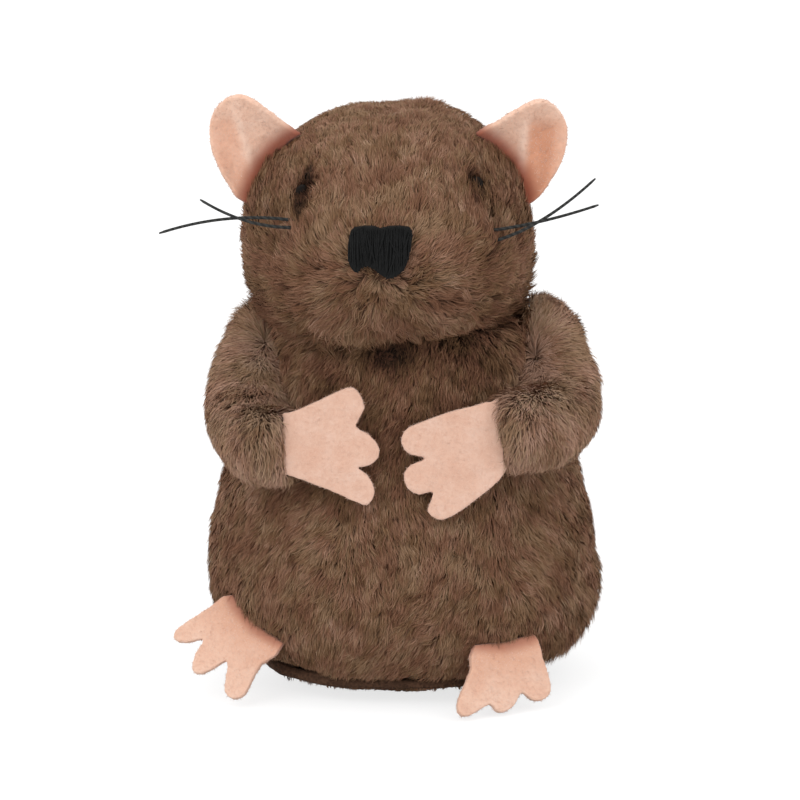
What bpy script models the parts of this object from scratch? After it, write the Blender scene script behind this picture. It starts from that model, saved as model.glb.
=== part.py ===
"""A plush mole that sits upright, sewn from long-pile cloth, fibre wadding and felt.

Metres, +Z up. The toy stands on the flat of its base at Z = 0 and faces -Y. Left and
right are the toy's own, so its left side is at +X.

The body and the head are sacks of plush cloth, each lofted through a few smooth
sections. The arms are sleeves of the same cloth that lie against the body, so the body's
form is cut out of them. Ears, paws and feet are cut from felt and bent. Each piece that
moves has its origin on the line about which it moves.
"""

import math
from dataclasses import dataclass

import bmesh
import bpy
from mathutils import Matrix, Vector

# Cloth and sewing
GAP = 0.0003
PLUSH_THICKNESS = 0.003
FELT_THICKNESS = 0.0016
STITCH_THICKNESS = 0.0011
BASE_SEAM_HEIGHT = 0.007
BASE_CUT_DEPTH = 0.0005

# Body and head
BODY_HEIGHT = 0.095
BODY_HALF_WIDTH = 0.0475
BODY_FRONT = 0.041
BODY_BACK = 0.038
HEAD_HEIGHT = 0.0487
HEAD_HALF_WIDTH = 0.0355
HEAD_FRONT = 0.048
HEAD_BACK = 0.034
HEAD_SIDE_SHIFT = -0.0035

# Arms
ARM_RADIUS = 0.0118
CUFF_ROUNDING = 0.0015

# Felt pieces, along and half across
RIGHT_PAW_LENGTH = 0.023
LEFT_PAW_LENGTH = 0.0262
PAW_HALF_WIDTH = 0.015
PAW_CURL = 0.0012
RIGHT_FOOT_LENGTH = 0.0175
LEFT_FOOT_LENGTH = 0.015
FOOT_HALF_WIDTH = 0.0131
FOOT_CURL = 0.0012
RIGHT_EAR_LENGTH = 0.0199
LEFT_EAR_LENGTH = 0.019
EAR_HALF_WIDTH = 0.0118
EAR_CUP = 0.0042
EAR_SEAT = 0.0024

# Face
NOSE_HALF_WIDTH = 0.0079
NOSE_HEIGHT = 0.0116
EYE_RADIUS = 0.0018
EYE_SINK = 0.0006
WHISKER_RADIUS = 0.00032
WHISKER_CROSSING = 0.0013

# Scent sachet in the body's wadding
SACHET_HEIGHT = 0.016
SACHET_HALF_WIDTH = 0.019
SACHET_HALF_DEPTH = 0.014

# How far the felt clears the plush when it folds, in degrees
EAR_FLOP = 15
FOOT_FOLD = 45

# Sections are superellipses of this power: 2 is an ellipse, and more is squarer
SQUARENESS = 2.3

# Fineness of the meshes
SACK_SEGMENTS = 36
POCKET_SEGMENTS = 24
SACK_RINGS = 20
POCKET_RINGS = 10
ARM_SEGMENTS = 20
ARM_RINGS = 11
POCKET_ARM_SEGMENTS = 14
STEPS_PER_POINT = 2

# Rows from the bottom up: shares of height, half width, front and back
BODY_SECTION_SHARES = (
    (0.000, 0.370, 0.490, 0.430),
    (0.022, 0.575, 0.725, 0.650),
    (0.088, 0.815, 0.880, 0.835),
    (0.172, 0.950, 0.965, 0.955),
    (0.280, 1.000, 1.000, 1.000),
    (0.420, 0.980, 0.985, 0.985),
    (0.550, 0.916, 0.950, 0.925),
    (0.690, 0.842, 0.880, 0.868),
    (0.845, 0.758, 0.780, 0.789),
    (0.945, 0.695, 0.707, 0.724),
    (1.000, 0.653, 0.659, 0.684),
)
HEAD_SECTION_SHARES = (
    (0.000, 0.760, 0.690, 0.735),
    (0.098, 0.920, 0.855, 0.880),
    (0.238, 0.995, 0.960, 0.970),
    (0.415, 1.000, 1.000, 1.000),
    (0.550, 0.972, 0.935, 1.000),
    (0.710, 0.885, 0.750, 0.930),
    (0.855, 0.715, 0.555, 0.765),
    (0.945, 0.500, 0.385, 0.550),
    (0.987, 0.265, 0.200, 0.300),
    (1.000, 0.080, 0.060, 0.090),
)
SACHET_SECTION_SHARES = (
    (0.000, 0.550, 0.550, 0.550),
    (0.200, 0.850, 0.850, 0.850),
    (0.450, 1.000, 1.000, 1.000),
    (0.800, 0.850, 0.850, 0.850),
    (1.000, 0.550, 0.550, 0.550),
)

# From shoulder to cuff: shares of the body's half width, front and height, and of the
# arm's radius
RIGHT_ARM_SHARES = (
    (-0.720, -0.020, 0.882, 0.88),
    (-0.775, -0.300, 0.775, 1.00),
    (-0.785, -0.600, 0.722, 0.96),
    (-0.715, -0.830, 0.718, 0.86),
    (-0.600, -0.965, 0.727, 0.78),
)
LEFT_ARM_SHARES = (
    (0.725, -0.020, 0.900, 0.90),
    (0.785, -0.300, 0.785, 1.00),
    (0.790, -0.600, 0.748, 0.96),
    (0.690, -0.830, 0.757, 0.86),
    (0.503, -0.955, 0.757, 0.78),
)
ARM_PIVOT_FRONT_SHARE = 0.245

# Outlines of the felt pieces: shares of the length, from the seam outwards, and of the
# half width, upwards for ears and paws and towards the toy's left for feet
RIGHT_PAW_SHARES = (
    (-0.130, 0.450),
    (0.040, 0.520),
    (0.350, 0.720),
    (0.650, 0.930),
    (0.760, 0.880),
    (0.840, 0.600),
    (0.740, 0.300),
    (0.880, 0.170),
    (1.000, -0.070),
    (0.950, -0.290),
    (0.820, -0.370),
    (0.700, -0.350),
    (0.870, -0.500),
    (0.945, -0.790),
    (0.870, -1.000),
    (0.750, -0.950),
    (0.460, -0.750),
    (0.070, -0.530),
    (-0.130, -0.380),
)
LEFT_PAW_SHARES = (
    (-0.130, 0.500),
    (-0.020, 0.540),
    (0.340, 0.600),
    (0.700, 0.610),
    (0.830, 0.560),
    (0.895, 0.400),
    (0.860, 0.180),
    (0.720, 0.020),
    (0.860, 0.010),
    (0.970, -0.080),
    (0.990, -0.320),
    (0.900, -0.510),
    (0.770, -0.540),
    (0.890, -0.790),
    (0.820, -1.000),
    (0.690, -1.010),
    (0.460, -0.920),
    (0.150, -0.730),
    (0.020, -0.540),
    (-0.130, -0.420),
)
RIGHT_FOOT_SHARES = (
    (-0.160, -0.640),
    (0.160, -0.830),
    (0.540, -0.980),
    (0.800, -1.030),
    (0.880, -0.900),
    (0.780, -0.700),
    (0.560, -0.480),
    (0.800, -0.420),
    (1.000, -0.240),
    (0.960, -0.060),
    (0.780, 0.060),
    (0.550, 0.160),
    (0.720, 0.370),
    (0.880, 0.560),
    (0.880, 0.780),
    (0.720, 0.900),
    (0.480, 0.800),
    (0.240, 0.720),
    (-0.160, 0.780),
)
LEFT_FOOT_SHARES = (
    (-0.180, -0.600),
    (0.170, -0.830),
    (0.430, -1.070),
    (0.680, -1.310),
    (0.880, -1.270),
    (0.880, -1.000),
    (0.800, -0.640),
    (0.940, -0.560),
    (0.990, -0.400),
    (0.920, -0.150),
    (0.750, 0.060),
    (0.900, 0.210),
    (0.970, 0.400),
    (0.890, 0.620),
    (0.640, 0.700),
    (0.280, 0.670),
    (-0.180, 0.620),
)
EAR_SHARES = (
    (-0.250, 0.800),
    (0.200, 0.970),
    (0.520, 1.060),
    (0.790, 1.090),
    (0.930, 0.960),
    (1.000, 0.620),
    (0.980, 0.240),
    (0.890, -0.070),
    (0.740, -0.370),
    (0.550, -0.600),
    (0.350, -0.790),
    (0.120, -0.930),
    (-0.250, -0.900),
)
# Where a felt piece is cut into cells so that it can bend, along and across
FELT_CELL_SHARES = ((0.15, 0.40, 0.65, 0.85), (-0.70, -0.35, 0.00, 0.35, 0.70))
NOSE_SHARES = (
    (-1.00, 0.45),
    (-0.95, 0.80),
    (-0.78, 0.97),
    (-0.20, 1.00),
    (0.00, 0.96),
    (0.30, 1.00),
    (0.90, 0.98),
    (1.00, 0.80),
    (0.88, 0.42),
    (0.75, 0.20),
    (0.52, 0.06),
    (0.26, 0.00),
    (0.00, 0.10),
    (-0.25, 0.22),
    (-0.50, 0.27),
    (-0.70, 0.12),
    (-0.88, 0.20),
)

# Where pieces sit: a share of the head's or the body's height, and an angle round it from
# the toy's left, with the front at -90 degrees
RIGHT_EAR_PLACE = (0.738, -177)
LEFT_EAR_PLACE = (0.733, -3)
RIGHT_EYE_PLACE = (0.722, -130)
LEFT_EYE_PLACE = (0.750, -46)
NOSE_PLACE = (0.494, -92)
RIGHT_FOOT_PLACE = (0.208, -141)
LEFT_FOOT_PLACE = (0.172, -59)

# Directions of the felt pieces: along the piece from its seam, and along the seam
RIGHT_PAW_WAY = ((0.997, -0.071, 0.012), (0.0, 0.17, 0.985))
LEFT_PAW_WAY = ((-0.937, -0.077, -0.342), (-0.35, 0.17, 0.921))
RIGHT_FOOT_WAY = ((-0.647, -0.029, -0.762), (0.644, -0.556, -0.526))
LEFT_FOOT_WAY = ((0.227, -0.2, -0.953), (0.874, 0.473, 0.109))
RIGHT_EAR_WAY = ((-0.85, -0.12, 0.51), (0.51, 0.06, 0.86))
LEFT_EAR_WAY = ((0.90, -0.12, 0.42), (-0.42, 0.06, 0.90))

# Whiskers: place of the root on the head, and steps from there to the bow and to the tip,
# as shares of the head's half width. The last value says which of a pair passes in front
WHISKER_SHARES = {
    "right_upper_whisker": (0.561, -131, (-0.31, -0.03, 0.068), (-0.615, 0.00, 0.208), 1),
    "right_lower_whisker": (0.590, -133, (-0.443, -0.03, 0.010), (-0.883, 0.00, -0.098), 0),
    "left_upper_whisker": (0.494, -42, (0.322, -0.03, 0.178), (0.655, 0.00, 0.442), 1),
    "left_lower_whisker": (0.536, -42, (0.341, -0.03, 0.078), (0.688, 0.00, 0.176), 0),
}
WHISKER_STEPS = 9


@dataclass(frozen=True)
class Sack:
    """A stuffed form: sections whose sizes are shares of the form's own sizes."""

    centre_x: float
    bottom: float
    height: float
    half_width: float
    front: float
    back: float
    section_shares: tuple

    def section(self, row):
        """Height, half width, front and back at a place between the rows."""
        shares = smooth_row(self.section_shares, row)
        return (
            self.bottom + self.height * shares[0],
            self.half_width * shares[1],
            self.front * shares[2],
            self.back * shares[3],
        )

    def row_at(self, height):
        """The place between the rows whose section lies at this height."""
        low, high = 0, len(self.section_shares) - 1
        for _ in range(40):
            middle = (low + high) / 2
            if self.section(middle)[0] < height:
                low = middle
            else:
                high = middle
        return (low + high) / 2

    def point(self, row, angle):
        """The point of the form at this row and this angle round it."""
        height, half_width, front, back = self.section(row)
        across = math.cos(angle)
        along = math.sin(angle)
        depth = back if along > 0 else front
        return Vector((
            self.centre_x + half_width * signed_power(across, 2 / SQUARENESS),
            depth * signed_power(along, 2 / SQUARENESS),
            height,
        ))

    def normal(self, row, angle):
        """The direction that points straight out of the form there."""
        step = 1e-3
        last = len(self.section_shares) - 1
        upwards = self.point(min(row + step, last), angle) - self.point(max(row - step, 0), angle)
        round_it = self.point(row, angle + step) - self.point(row, angle - step)
        return round_it.cross(upwards).normalized()

    def place(self, height_share, degrees):
        """The point and the normal at a share of the height and an angle in degrees."""
        row = self.row_at(self.bottom + self.height * height_share)
        angle = math.radians(degrees)
        return self.point(row, angle), self.normal(row, angle)


def signed_power(value, power):
    """The value's size raised to a power, with the value's sign."""
    return math.copysign(abs(value) ** power, value)


def smooth_row(rows, place, closed=False):
    """The row at a place between rows, on a Catmull-Rom curve through all of them."""
    count = len(rows)
    spans = count if closed else count - 1
    index = min(int(place), spans - 1)
    share = place - index
    if closed:
        before, start, end, after = (rows[(index + i) % count] for i in (-1, 0, 1, 2))
    else:
        start = rows[index]
        end = rows[index + 1]
        before = rows[index - 1] if index > 0 else mirrored(end, start)
        after = rows[index + 2] if index + 2 < count else mirrored(start, end)
    return tuple(
        0.5 * (
            2 * b
            + (c - a) * share
            + (2 * a - 5 * b + 4 * c - d) * share ** 2
            + (3 * b - a - 3 * c + d) * share ** 3
        )
        for a, b, c, d in zip(before, start, end, after)
    )


def mirrored(far, near):
    """The row as far beyond the near one as the far one is before it."""
    return tuple(2 * n - f for f, n in zip(far, near))


BODY = Sack(
    centre_x=0,
    bottom=-BASE_CUT_DEPTH,
    height=BODY_HEIGHT + BASE_CUT_DEPTH,
    half_width=BODY_HALF_WIDTH,
    front=BODY_FRONT,
    back=BODY_BACK,
    section_shares=BODY_SECTION_SHARES,
)
HEAD = Sack(
    centre_x=HEAD_SIDE_SHIFT,
    bottom=BODY_HEIGHT + GAP,
    height=HEAD_HEIGHT,
    half_width=HEAD_HALF_WIDTH,
    front=HEAD_FRONT,
    back=HEAD_BACK,
    section_shares=HEAD_SECTION_SHARES,
)
SACHET = Sack(
    centre_x=0,
    bottom=PLUSH_THICKNESS + GAP,
    height=SACHET_HEIGHT,
    half_width=SACHET_HALF_WIDTH,
    front=SACHET_HALF_DEPTH,
    back=SACHET_HALF_DEPTH,
    section_shares=SACHET_SECTION_SHARES,
)


def clear_scene():
    """Removes every object of the scene."""
    for old in list(bpy.data.objects):
        bpy.data.objects.remove(old, do_unlink=True)


def make_material(name, colour, roughness):
    """A plain surface of one linear colour."""
    material = bpy.data.materials.new(name)
    material.use_nodes = True
    shader = material.node_tree.nodes["Principled BSDF"]
    shader.inputs["Base Color"].default_value = (*colour, 1)
    shader.inputs["Roughness"].default_value = roughness
    shader.inputs["Metallic"].default_value = 0
    return material


def add_object(name, bm, material=None, pivot=(0, 0, 0), parent=None):
    """Turns a bmesh in world places into an object whose origin is its pivot."""
    bmesh.ops.recalc_face_normals(bm, faces=bm.faces)
    pivot = Vector(pivot)
    bm.transform(Matrix.Translation(-pivot))
    mesh = bpy.data.meshes.new(name)
    bm.to_mesh(mesh)
    bm.free()
    mesh.shade_smooth()
    if material:
        mesh.materials.append(material)
    added = bpy.data.objects.new(name, mesh)
    bpy.context.scene.collection.objects.link(added)
    seat(added, pivot, parent)
    return added


def seat(piece, pivot, parent):
    """Puts a piece's origin at its pivot, under its parent."""
    if parent:
        piece.parent = parent
        piece.location = Vector(pivot) - world_place(parent)
    else:
        piece.location = pivot


def world_place(piece):
    """Where an unturned object's origin lies in the world."""
    place = Vector(piece.location)
    if piece.parent:
        place += world_place(piece.parent)
    return place


def as_cutter(helper):
    """Marks a helper, which shapes others and is no piece of the toy."""
    helper.hide_render = True
    helper.display_type = "WIRE"
    return helper


def cut(piece, cutter, operation="DIFFERENCE"):
    """Adds a Boolean to the piece."""
    modifier = piece.modifiers.new(cutter.name, "BOOLEAN")
    modifier.operation = operation
    modifier.solver = "EXACT"
    modifier.object = cutter


def add_rings(bm, grid):
    """Joins rings of points with quads, and returns the rings' vertices."""
    rings = [[bm.verts.new(point) for point in ring] for ring in grid]
    for lower, upper in zip(rings, rings[1:]):
        join_rings(bm, lower, upper)
    return rings


def join_rings(bm, lower, upper):
    """Joins two rings of equally many vertices."""
    count = len(lower)
    for i in range(count):
        after = (i + 1) % count
        bm.faces.new((lower[i], lower[after], upper[after], upper[i]))


def sack_rings(sack, low, high, count, segments, inset=0, flat_low=None, flat_high=None):
    """Rings of a sack between two rows, moved in by an inset, with flat ends on request."""
    grid = []
    for i in range(count):
        row = low + (high - low) * i / (count - 1)
        ring = []
        for j in range(segments):
            angle = 2 * math.pi * j / segments
            ring.append(sack.point(row, angle) - inset * sack.normal(row, angle))
        grid.append(ring)
    for ring, level in ((grid[0], flat_low), (grid[-1], flat_high)):
        for point in ring:
            point.z = point.z if level is None else level
    return grid


def solid_sack(sack, count, segments, inset=0, low=None, high=None):
    """A closed solid of a sack, with flat ends where heights are given."""
    first = 0 if low is None else sack.row_at(low)
    last = len(sack.section_shares) - 1 if high is None else sack.row_at(high)
    bm = bmesh.new()
    grid = sack_rings(sack, first, last, count, segments, inset, low, high)
    rings = add_rings(bm, grid)
    bm.faces.new(rings[0])
    bm.faces.new(rings[-1])
    return bm


def hollow_sack(outer, inner):
    """A cloth sack, closed at its last rings and open at its first ones."""
    bm = bmesh.new()
    outside = add_rings(bm, outer)
    inside = add_rings(bm, inner)
    join_rings(bm, outside[0], inside[0])
    bm.faces.new(outside[-1])
    bm.faces.new(inside[-1])
    return bm


def body_pieces(plush, wadding, canvas):
    """The body's cover, its base panel, its wadding and the sachet in the wadding."""
    seam = BODY.row_at(BASE_SEAM_HEIGHT)
    cover_row = BODY.row_at(BASE_SEAM_HEIGHT + GAP)
    neck = len(BODY_SECTION_SHARES) - 1
    ceiling = BODY_HEIGHT - PLUSH_THICKNESS
    cover = hollow_sack(
        sack_rings(BODY, cover_row, neck, SACK_RINGS, SACK_SEGMENTS,
                   0, BASE_SEAM_HEIGHT + GAP, BODY_HEIGHT),
        sack_rings(BODY, cover_row, BODY.row_at(ceiling), SACK_RINGS, SACK_SEGMENTS,
                   PLUSH_THICKNESS, BASE_SEAM_HEIGHT + GAP, ceiling),
    )
    cover = add_object("body_cover", cover, plush)

    flat = BODY.row_at(0)
    panel = hollow_sack(
        sack_rings(BODY, seam, flat, POCKET_RINGS, SACK_SEGMENTS, 0, BASE_SEAM_HEIGHT, 0),
        sack_rings(BODY, seam, flat, POCKET_RINGS, SACK_SEGMENTS,
                   PLUSH_THICKNESS, BASE_SEAM_HEIGHT, PLUSH_THICKNESS),
    )
    add_object("base_panel", panel, plush, parent=cover)

    inset = PLUSH_THICKNESS + GAP
    filling = bmesh.new()
    grid = sack_rings(BODY, flat, BODY.row_at(ceiling - GAP), SACK_RINGS, SACK_SEGMENTS,
                      inset, inset, ceiling - GAP)
    rings = add_rings(filling, grid)
    filling.faces.new(rings[0])
    filling.faces.new(rings[-1])
    filling = add_object("body_wadding", filling, wadding, parent=cover)

    sachet = solid_sack(SACHET, POCKET_RINGS, POCKET_SEGMENTS, low=SACHET.bottom)
    add_object("scent_sachet", sachet, canvas, parent=cover)
    pocket = solid_sack(SACHET, POCKET_RINGS, POCKET_SEGMENTS, inset=-GAP,
                        low=SACHET.bottom)
    bmesh.ops.transform(
        pocket,
        matrix=Matrix.Translation((0, 0, -GAP)),
        verts=[v for v in pocket.verts if v.co.z <= SACHET.bottom],
    )
    cut(filling, as_cutter(add_object("sachet_pocket", pocket)))
    return cover


def head_pieces(plush, wadding):
    """The head's cover and its wadding."""
    inset = PLUSH_THICKNESS + GAP
    crown = len(HEAD_SECTION_SHARES) - 1
    pivot = (HEAD_SIDE_SHIFT, 0, BODY_HEIGHT)
    cover = hollow_sack(
        sack_rings(HEAD, 0, crown, SACK_RINGS, SACK_SEGMENTS, 0, HEAD.bottom),
        sack_rings(HEAD, 0, crown, SACK_RINGS, SACK_SEGMENTS, PLUSH_THICKNESS, HEAD.bottom),
    )
    cover = add_object("head_cover", cover, plush, pivot)

    grid = sack_rings(HEAD, 0, crown, SACK_RINGS, SACK_SEGMENTS, inset, HEAD.bottom)
    filling = bmesh.new()
    rings = add_rings(filling, grid)
    filling.faces.new(rings[0])
    filling.faces.new(rings[-1])
    add_object("head_wadding", filling, wadding, pivot, cover)
    return cover


def arm_centres(shares):
    """Points and radii along an arm from its shoulder to its cuff."""
    centres = []
    for i in range(ARM_RINGS):
        place = (len(shares) - 1) * i / (ARM_RINGS - 1)
        x, y, z, radius = smooth_row(shares, place)
        centre = Vector((x * BODY_HALF_WIDTH, y * BODY_FRONT, z * BODY_HEIGHT))
        centres.append((centre, radius * ARM_RADIUS))
    return centres


def cuff_of(shares):
    """The centre of the cuff, its outward direction and its radius."""
    centres = arm_centres(shares)
    (before, _), (end, radius) = centres[-2:]
    return end, (end - before).normalized(), radius


def arm_tube(shares, segments, inset=0):
    """A closed sleeve with a round shoulder and a flat cuff, moved in by an inset."""
    centres = arm_centres(shares)
    points = [centre for centre, _ in centres]
    ways = [(b - a).normalized() for a, b in zip(points, points[1:])]
    ways = [ways[0]] + [(a + b).normalized() for a, b in zip(ways, ways[1:])] + [ways[-1]]

    stations = []
    shoulder, radius = centres[0]
    for degrees in (-80, -55, -30):
        angle = math.radians(degrees)
        reach = radius - inset
        centre = shoulder + ways[0] * reach * math.sin(angle)
        stations.append((centre, ways[0], reach * math.cos(angle)))
    end, radius = centres[-1]
    way = ways[-1]
    for (centre, ring_radius), ring_way in zip(centres[:-1], ways):
        if (end - centre).length > 2 * CUFF_ROUNDING + inset:
            stations.append((centre, ring_way, ring_radius - inset))
    stations.append((end - way * (CUFF_ROUNDING + inset), way, radius - inset))
    stations.append((end - way * inset, way, radius - inset - CUFF_ROUNDING))

    grid = []
    side = ways[0].orthogonal().normalized()
    for centre, way, radius in stations:
        side = (side - side.dot(way) * way).normalized()
        up = way.cross(side)
        turns = (2 * math.pi * j / segments for j in range(segments))
        grid.append([
            centre + radius * (math.cos(turn) * side + math.sin(turn) * up)
            for turn in turns
        ])
    bm = bmesh.new()
    rings = add_rings(bm, grid)
    bm.faces.new(rings[0])
    bm.faces.new(rings[-1])
    return bm


def arm_pieces(side, shares, plush, wadding, body_form, body):
    """A sleeve, open where it lies against the body, and the wadding in it."""
    shoulder, _ = arm_centres(shares)[0]
    pivot = Vector((shoulder.x, ARM_PIVOT_FRONT_SHARE * BODY_FRONT, shoulder.z))
    inset = PLUSH_THICKNESS + GAP
    sleeve = add_object(f"{side}_arm_sleeve", arm_tube(shares, ARM_SEGMENTS), plush, pivot, body)
    pocket = add_object(
        f"{side}_sleeve_pocket", arm_tube(shares, POCKET_ARM_SEGMENTS, PLUSH_THICKNESS)
    )
    cut(sleeve, as_cutter(pocket))
    cut(sleeve, body_form)
    filling = add_object(
        f"{side}_arm_wadding", arm_tube(shares, POCKET_ARM_SEGMENTS, inset),
        wadding, pivot, sleeve,
    )
    cut(filling, body_form)
    return sleeve


def felt_sheet(shares, length, half_width, origin, ways, bend):
    """A thin sheet with a smooth outline, cut into cells so that it can bend.

    The bend gives how far a point lies off the flat sheet from its two shares.
    """
    along, across = (Vector(way).normalized() for way in ways)
    across = (across - across.dot(along) * along).normalized()
    out = along.cross(across)
    bm = bmesh.new()
    count = len(shares) * STEPS_PER_POINT
    corners = []
    for i in range(count):
        x, y = smooth_row(shares, i / STEPS_PER_POINT, closed=True)
        corners.append(bm.verts.new((x, y, 0)))
    bm.faces.new(corners)
    for normal, steps in zip(((1, 0, 0), (0, 1, 0)), FELT_CELL_SHARES):
        for step in steps:
            bmesh.ops.bisect_plane(
                bm,
                geom=bm.verts[:] + bm.edges[:] + bm.faces[:],
                plane_co=Vector(normal) * step,
                plane_no=normal,
            )
    for vertex in bm.verts:
        x, y, _ = vertex.co
        vertex.co = (
            origin + x * length * along + y * half_width * across + bend(x, y) * out
        )
    return bm


def add_felt(name, sheet, material, pivot, parent):
    """Gives a felt sheet its thickness and its place."""
    piece = add_object(name, sheet, material, pivot, parent)
    thicken = piece.modifiers.new("felt", "SOLIDIFY")
    thicken.thickness = FELT_THICKNESS
    thicken.offset = 0
    thicken.use_even_offset = True
    return piece


def clear_swing(piece, form, pivot, axis, angles):
    """Cuts a form out of a piece at rest and at more places of the piece's swing."""
    cut(piece, form)
    for degrees in angles:
        turned = as_cutter(bpy.data.objects.new(f"{piece.name}_{degrees}", form.data))
        bpy.context.scene.collection.objects.link(turned)
        turn = Matrix.Rotation(math.radians(-degrees), 4, axis)
        there = Matrix.Translation(pivot)
        turned.matrix_world = there @ turn @ there.inverted()
        cut(piece, turned)


def paw(side, shares, length, ways, arm_shares, felt, sleeve):
    """A felt hand with three fingers, held in the cuff."""
    end, way, _ = cuff_of(arm_shares)
    along, across = (Vector(part) for part in ways)
    inwards = along.cross(across).normalized()
    if inwards.y < 0:
        inwards = -inwards
    sense = 1 if along.cross(across).y > 0 else -1

    def curl(x, y):
        return sense * PAW_CURL * max(x, 0) ** 2

    sheet = felt_sheet(shares, length, PAW_HALF_WIDTH, end, ways, curl)
    # The wrist folds about the edge where the outer face of the felt leaves the cuff
    half = FELT_THICKNESS / 2
    step = (GAP + half * inwards.dot(way)) / along.dot(way)
    pivot = end - half * inwards + step * along
    hand = add_felt(f"{side}_paw", sheet, felt, pivot, sleeve)
    cuff = arm_tube(arm_shares, ARM_SEGMENTS, -GAP)
    cut(hand, as_cutter(add_object(f"{side}_cuff_form", cuff)))
    return hand


def foot(side, shares, length, ways, place, felt, body_form, body):
    """A felt foot with three toes, sewn to the body low down."""
    seat_point, outwards = BODY.place(*place)
    heel = seat_point + outwards * (GAP + FELT_THICKNESS / 2)

    def curl(x, y):
        return FOOT_CURL * max(x, 0) ** 2

    sheet = felt_sheet(shares, length, FOOT_HALF_WIDTH, heel, ways, curl)
    pad = add_felt(f"{side}_foot", sheet, felt, heel, body)
    axis = Vector(ways[1]).normalized()
    clear_swing(pad, body_form, heel, axis, (-FOOT_FOLD / 2, -FOOT_FOLD))
    return pad


def ear(side, length, ways, place, felt, head_form, head):
    """A cupped felt ear, sewn to the side of the head."""
    seat_point, _ = HEAD.place(*place)
    along = Vector(ways[0]).normalized()
    root = seat_point - along * EAR_SEAT
    sense = 1 if along.cross(Vector(ways[1])).y < 0 else -1

    def cup(x, y):
        return sense * EAR_CUP * (y ** 2 - max(x, 0) ** 2 / 3)

    sheet = felt_sheet(EAR_SHARES, length, EAR_HALF_WIDTH, root, ways, cup)
    flap = add_felt(f"{side}_ear", sheet, felt, seat_point, head)
    axis = Vector(ways[1]).normalized()
    clear_swing(flap, head_form, seat_point, axis, (-EAR_FLOP, EAR_FLOP))
    return flap


def nose(thread, head_form, head):
    """A raised patch of satin stitches that follows the muzzle."""
    middle, _ = HEAD.place(*NOSE_PLACE)
    bm = bmesh.new()
    count = len(NOSE_SHARES) * STEPS_PER_POINT
    corners = []
    for i in range(count):
        x, z = smooth_row(NOSE_SHARES, i / STEPS_PER_POINT, closed=True)
        corners.append(bm.verts.new((
            middle.x + x * NOSE_HALF_WIDTH,
            -2 * HEAD_FRONT,
            middle.z + (z - 0.5) * NOSE_HEIGHT,
        )))
    face = bm.faces.new(corners)
    drawn = bmesh.ops.extrude_face_region(bm, geom=[face])
    moved = [item for item in drawn["geom"] if isinstance(item, bmesh.types.BMVert)]
    bmesh.ops.translate(bm, vec=(0, 2 * HEAD_FRONT, 0), verts=moved)
    patch = add_object("nose", bm, thread, head.location, head)
    raised = solid_sack(HEAD, SACK_RINGS, SACK_SEGMENTS, inset=-GAP - STITCH_THICKNESS)
    cut(patch, as_cutter(add_object("nose_form", raised)), "INTERSECT")
    cut(patch, head_form)
    return patch


def eye(side, place, bead, head):
    """A small bead, sunk in the head's cover."""
    seat_point, outwards = HEAD.place(*place)
    centre = seat_point - outwards * EYE_SINK
    for name, radius, shown in ((f"{side}_eye", EYE_RADIUS, True),
                                (f"{side}_eye_socket", EYE_RADIUS + GAP, False)):
        ball = bmesh.new()
        bmesh.ops.create_uvsphere(ball, u_segments=12, v_segments=8, radius=radius)
        ball.transform(Matrix.Translation(centre))
        if shown:
            add_object(name, ball, bead, centre, head)
        else:
            cut(head, as_cutter(add_object(name, ball)))


def whisker(name, thread, head):
    """A stiff thread that leaves the muzzle and bows."""
    height_share, degrees, bow_shares, tip_shares, front = WHISKER_SHARES[name]
    seat_point, outwards = HEAD.place(height_share, degrees)
    root = seat_point + outwards * (GAP + WHISKER_RADIUS)
    shift = Vector((0, -front * WHISKER_CROSSING, 0))
    bow = root + Vector(bow_shares) * HEAD_HALF_WIDTH + shift
    tip = root + Vector(tip_shares) * HEAD_HALF_WIDTH + shift
    control = 2 * bow - (root + tip) / 2
    curve = bpy.data.curves.new(name, "CURVE")
    curve.dimensions = "3D"
    curve.bevel_depth = WHISKER_RADIUS
    curve.bevel_resolution = 1
    curve.use_fill_caps = True
    line = curve.splines.new("POLY")
    line.points.add(WHISKER_STEPS - 1)
    for i, point in enumerate(line.points):
        share = i / (WHISKER_STEPS - 1)
        place = (
            (1 - share) ** 2 * root + 2 * share * (1 - share) * control + share ** 2 * tip
        )
        point.co = (*(place - root), 1)
    curve.materials.append(thread)
    strand = bpy.data.objects.new(name, curve)
    bpy.context.scene.collection.objects.link(strand)
    seat(strand, root, head)
    return strand


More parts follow.
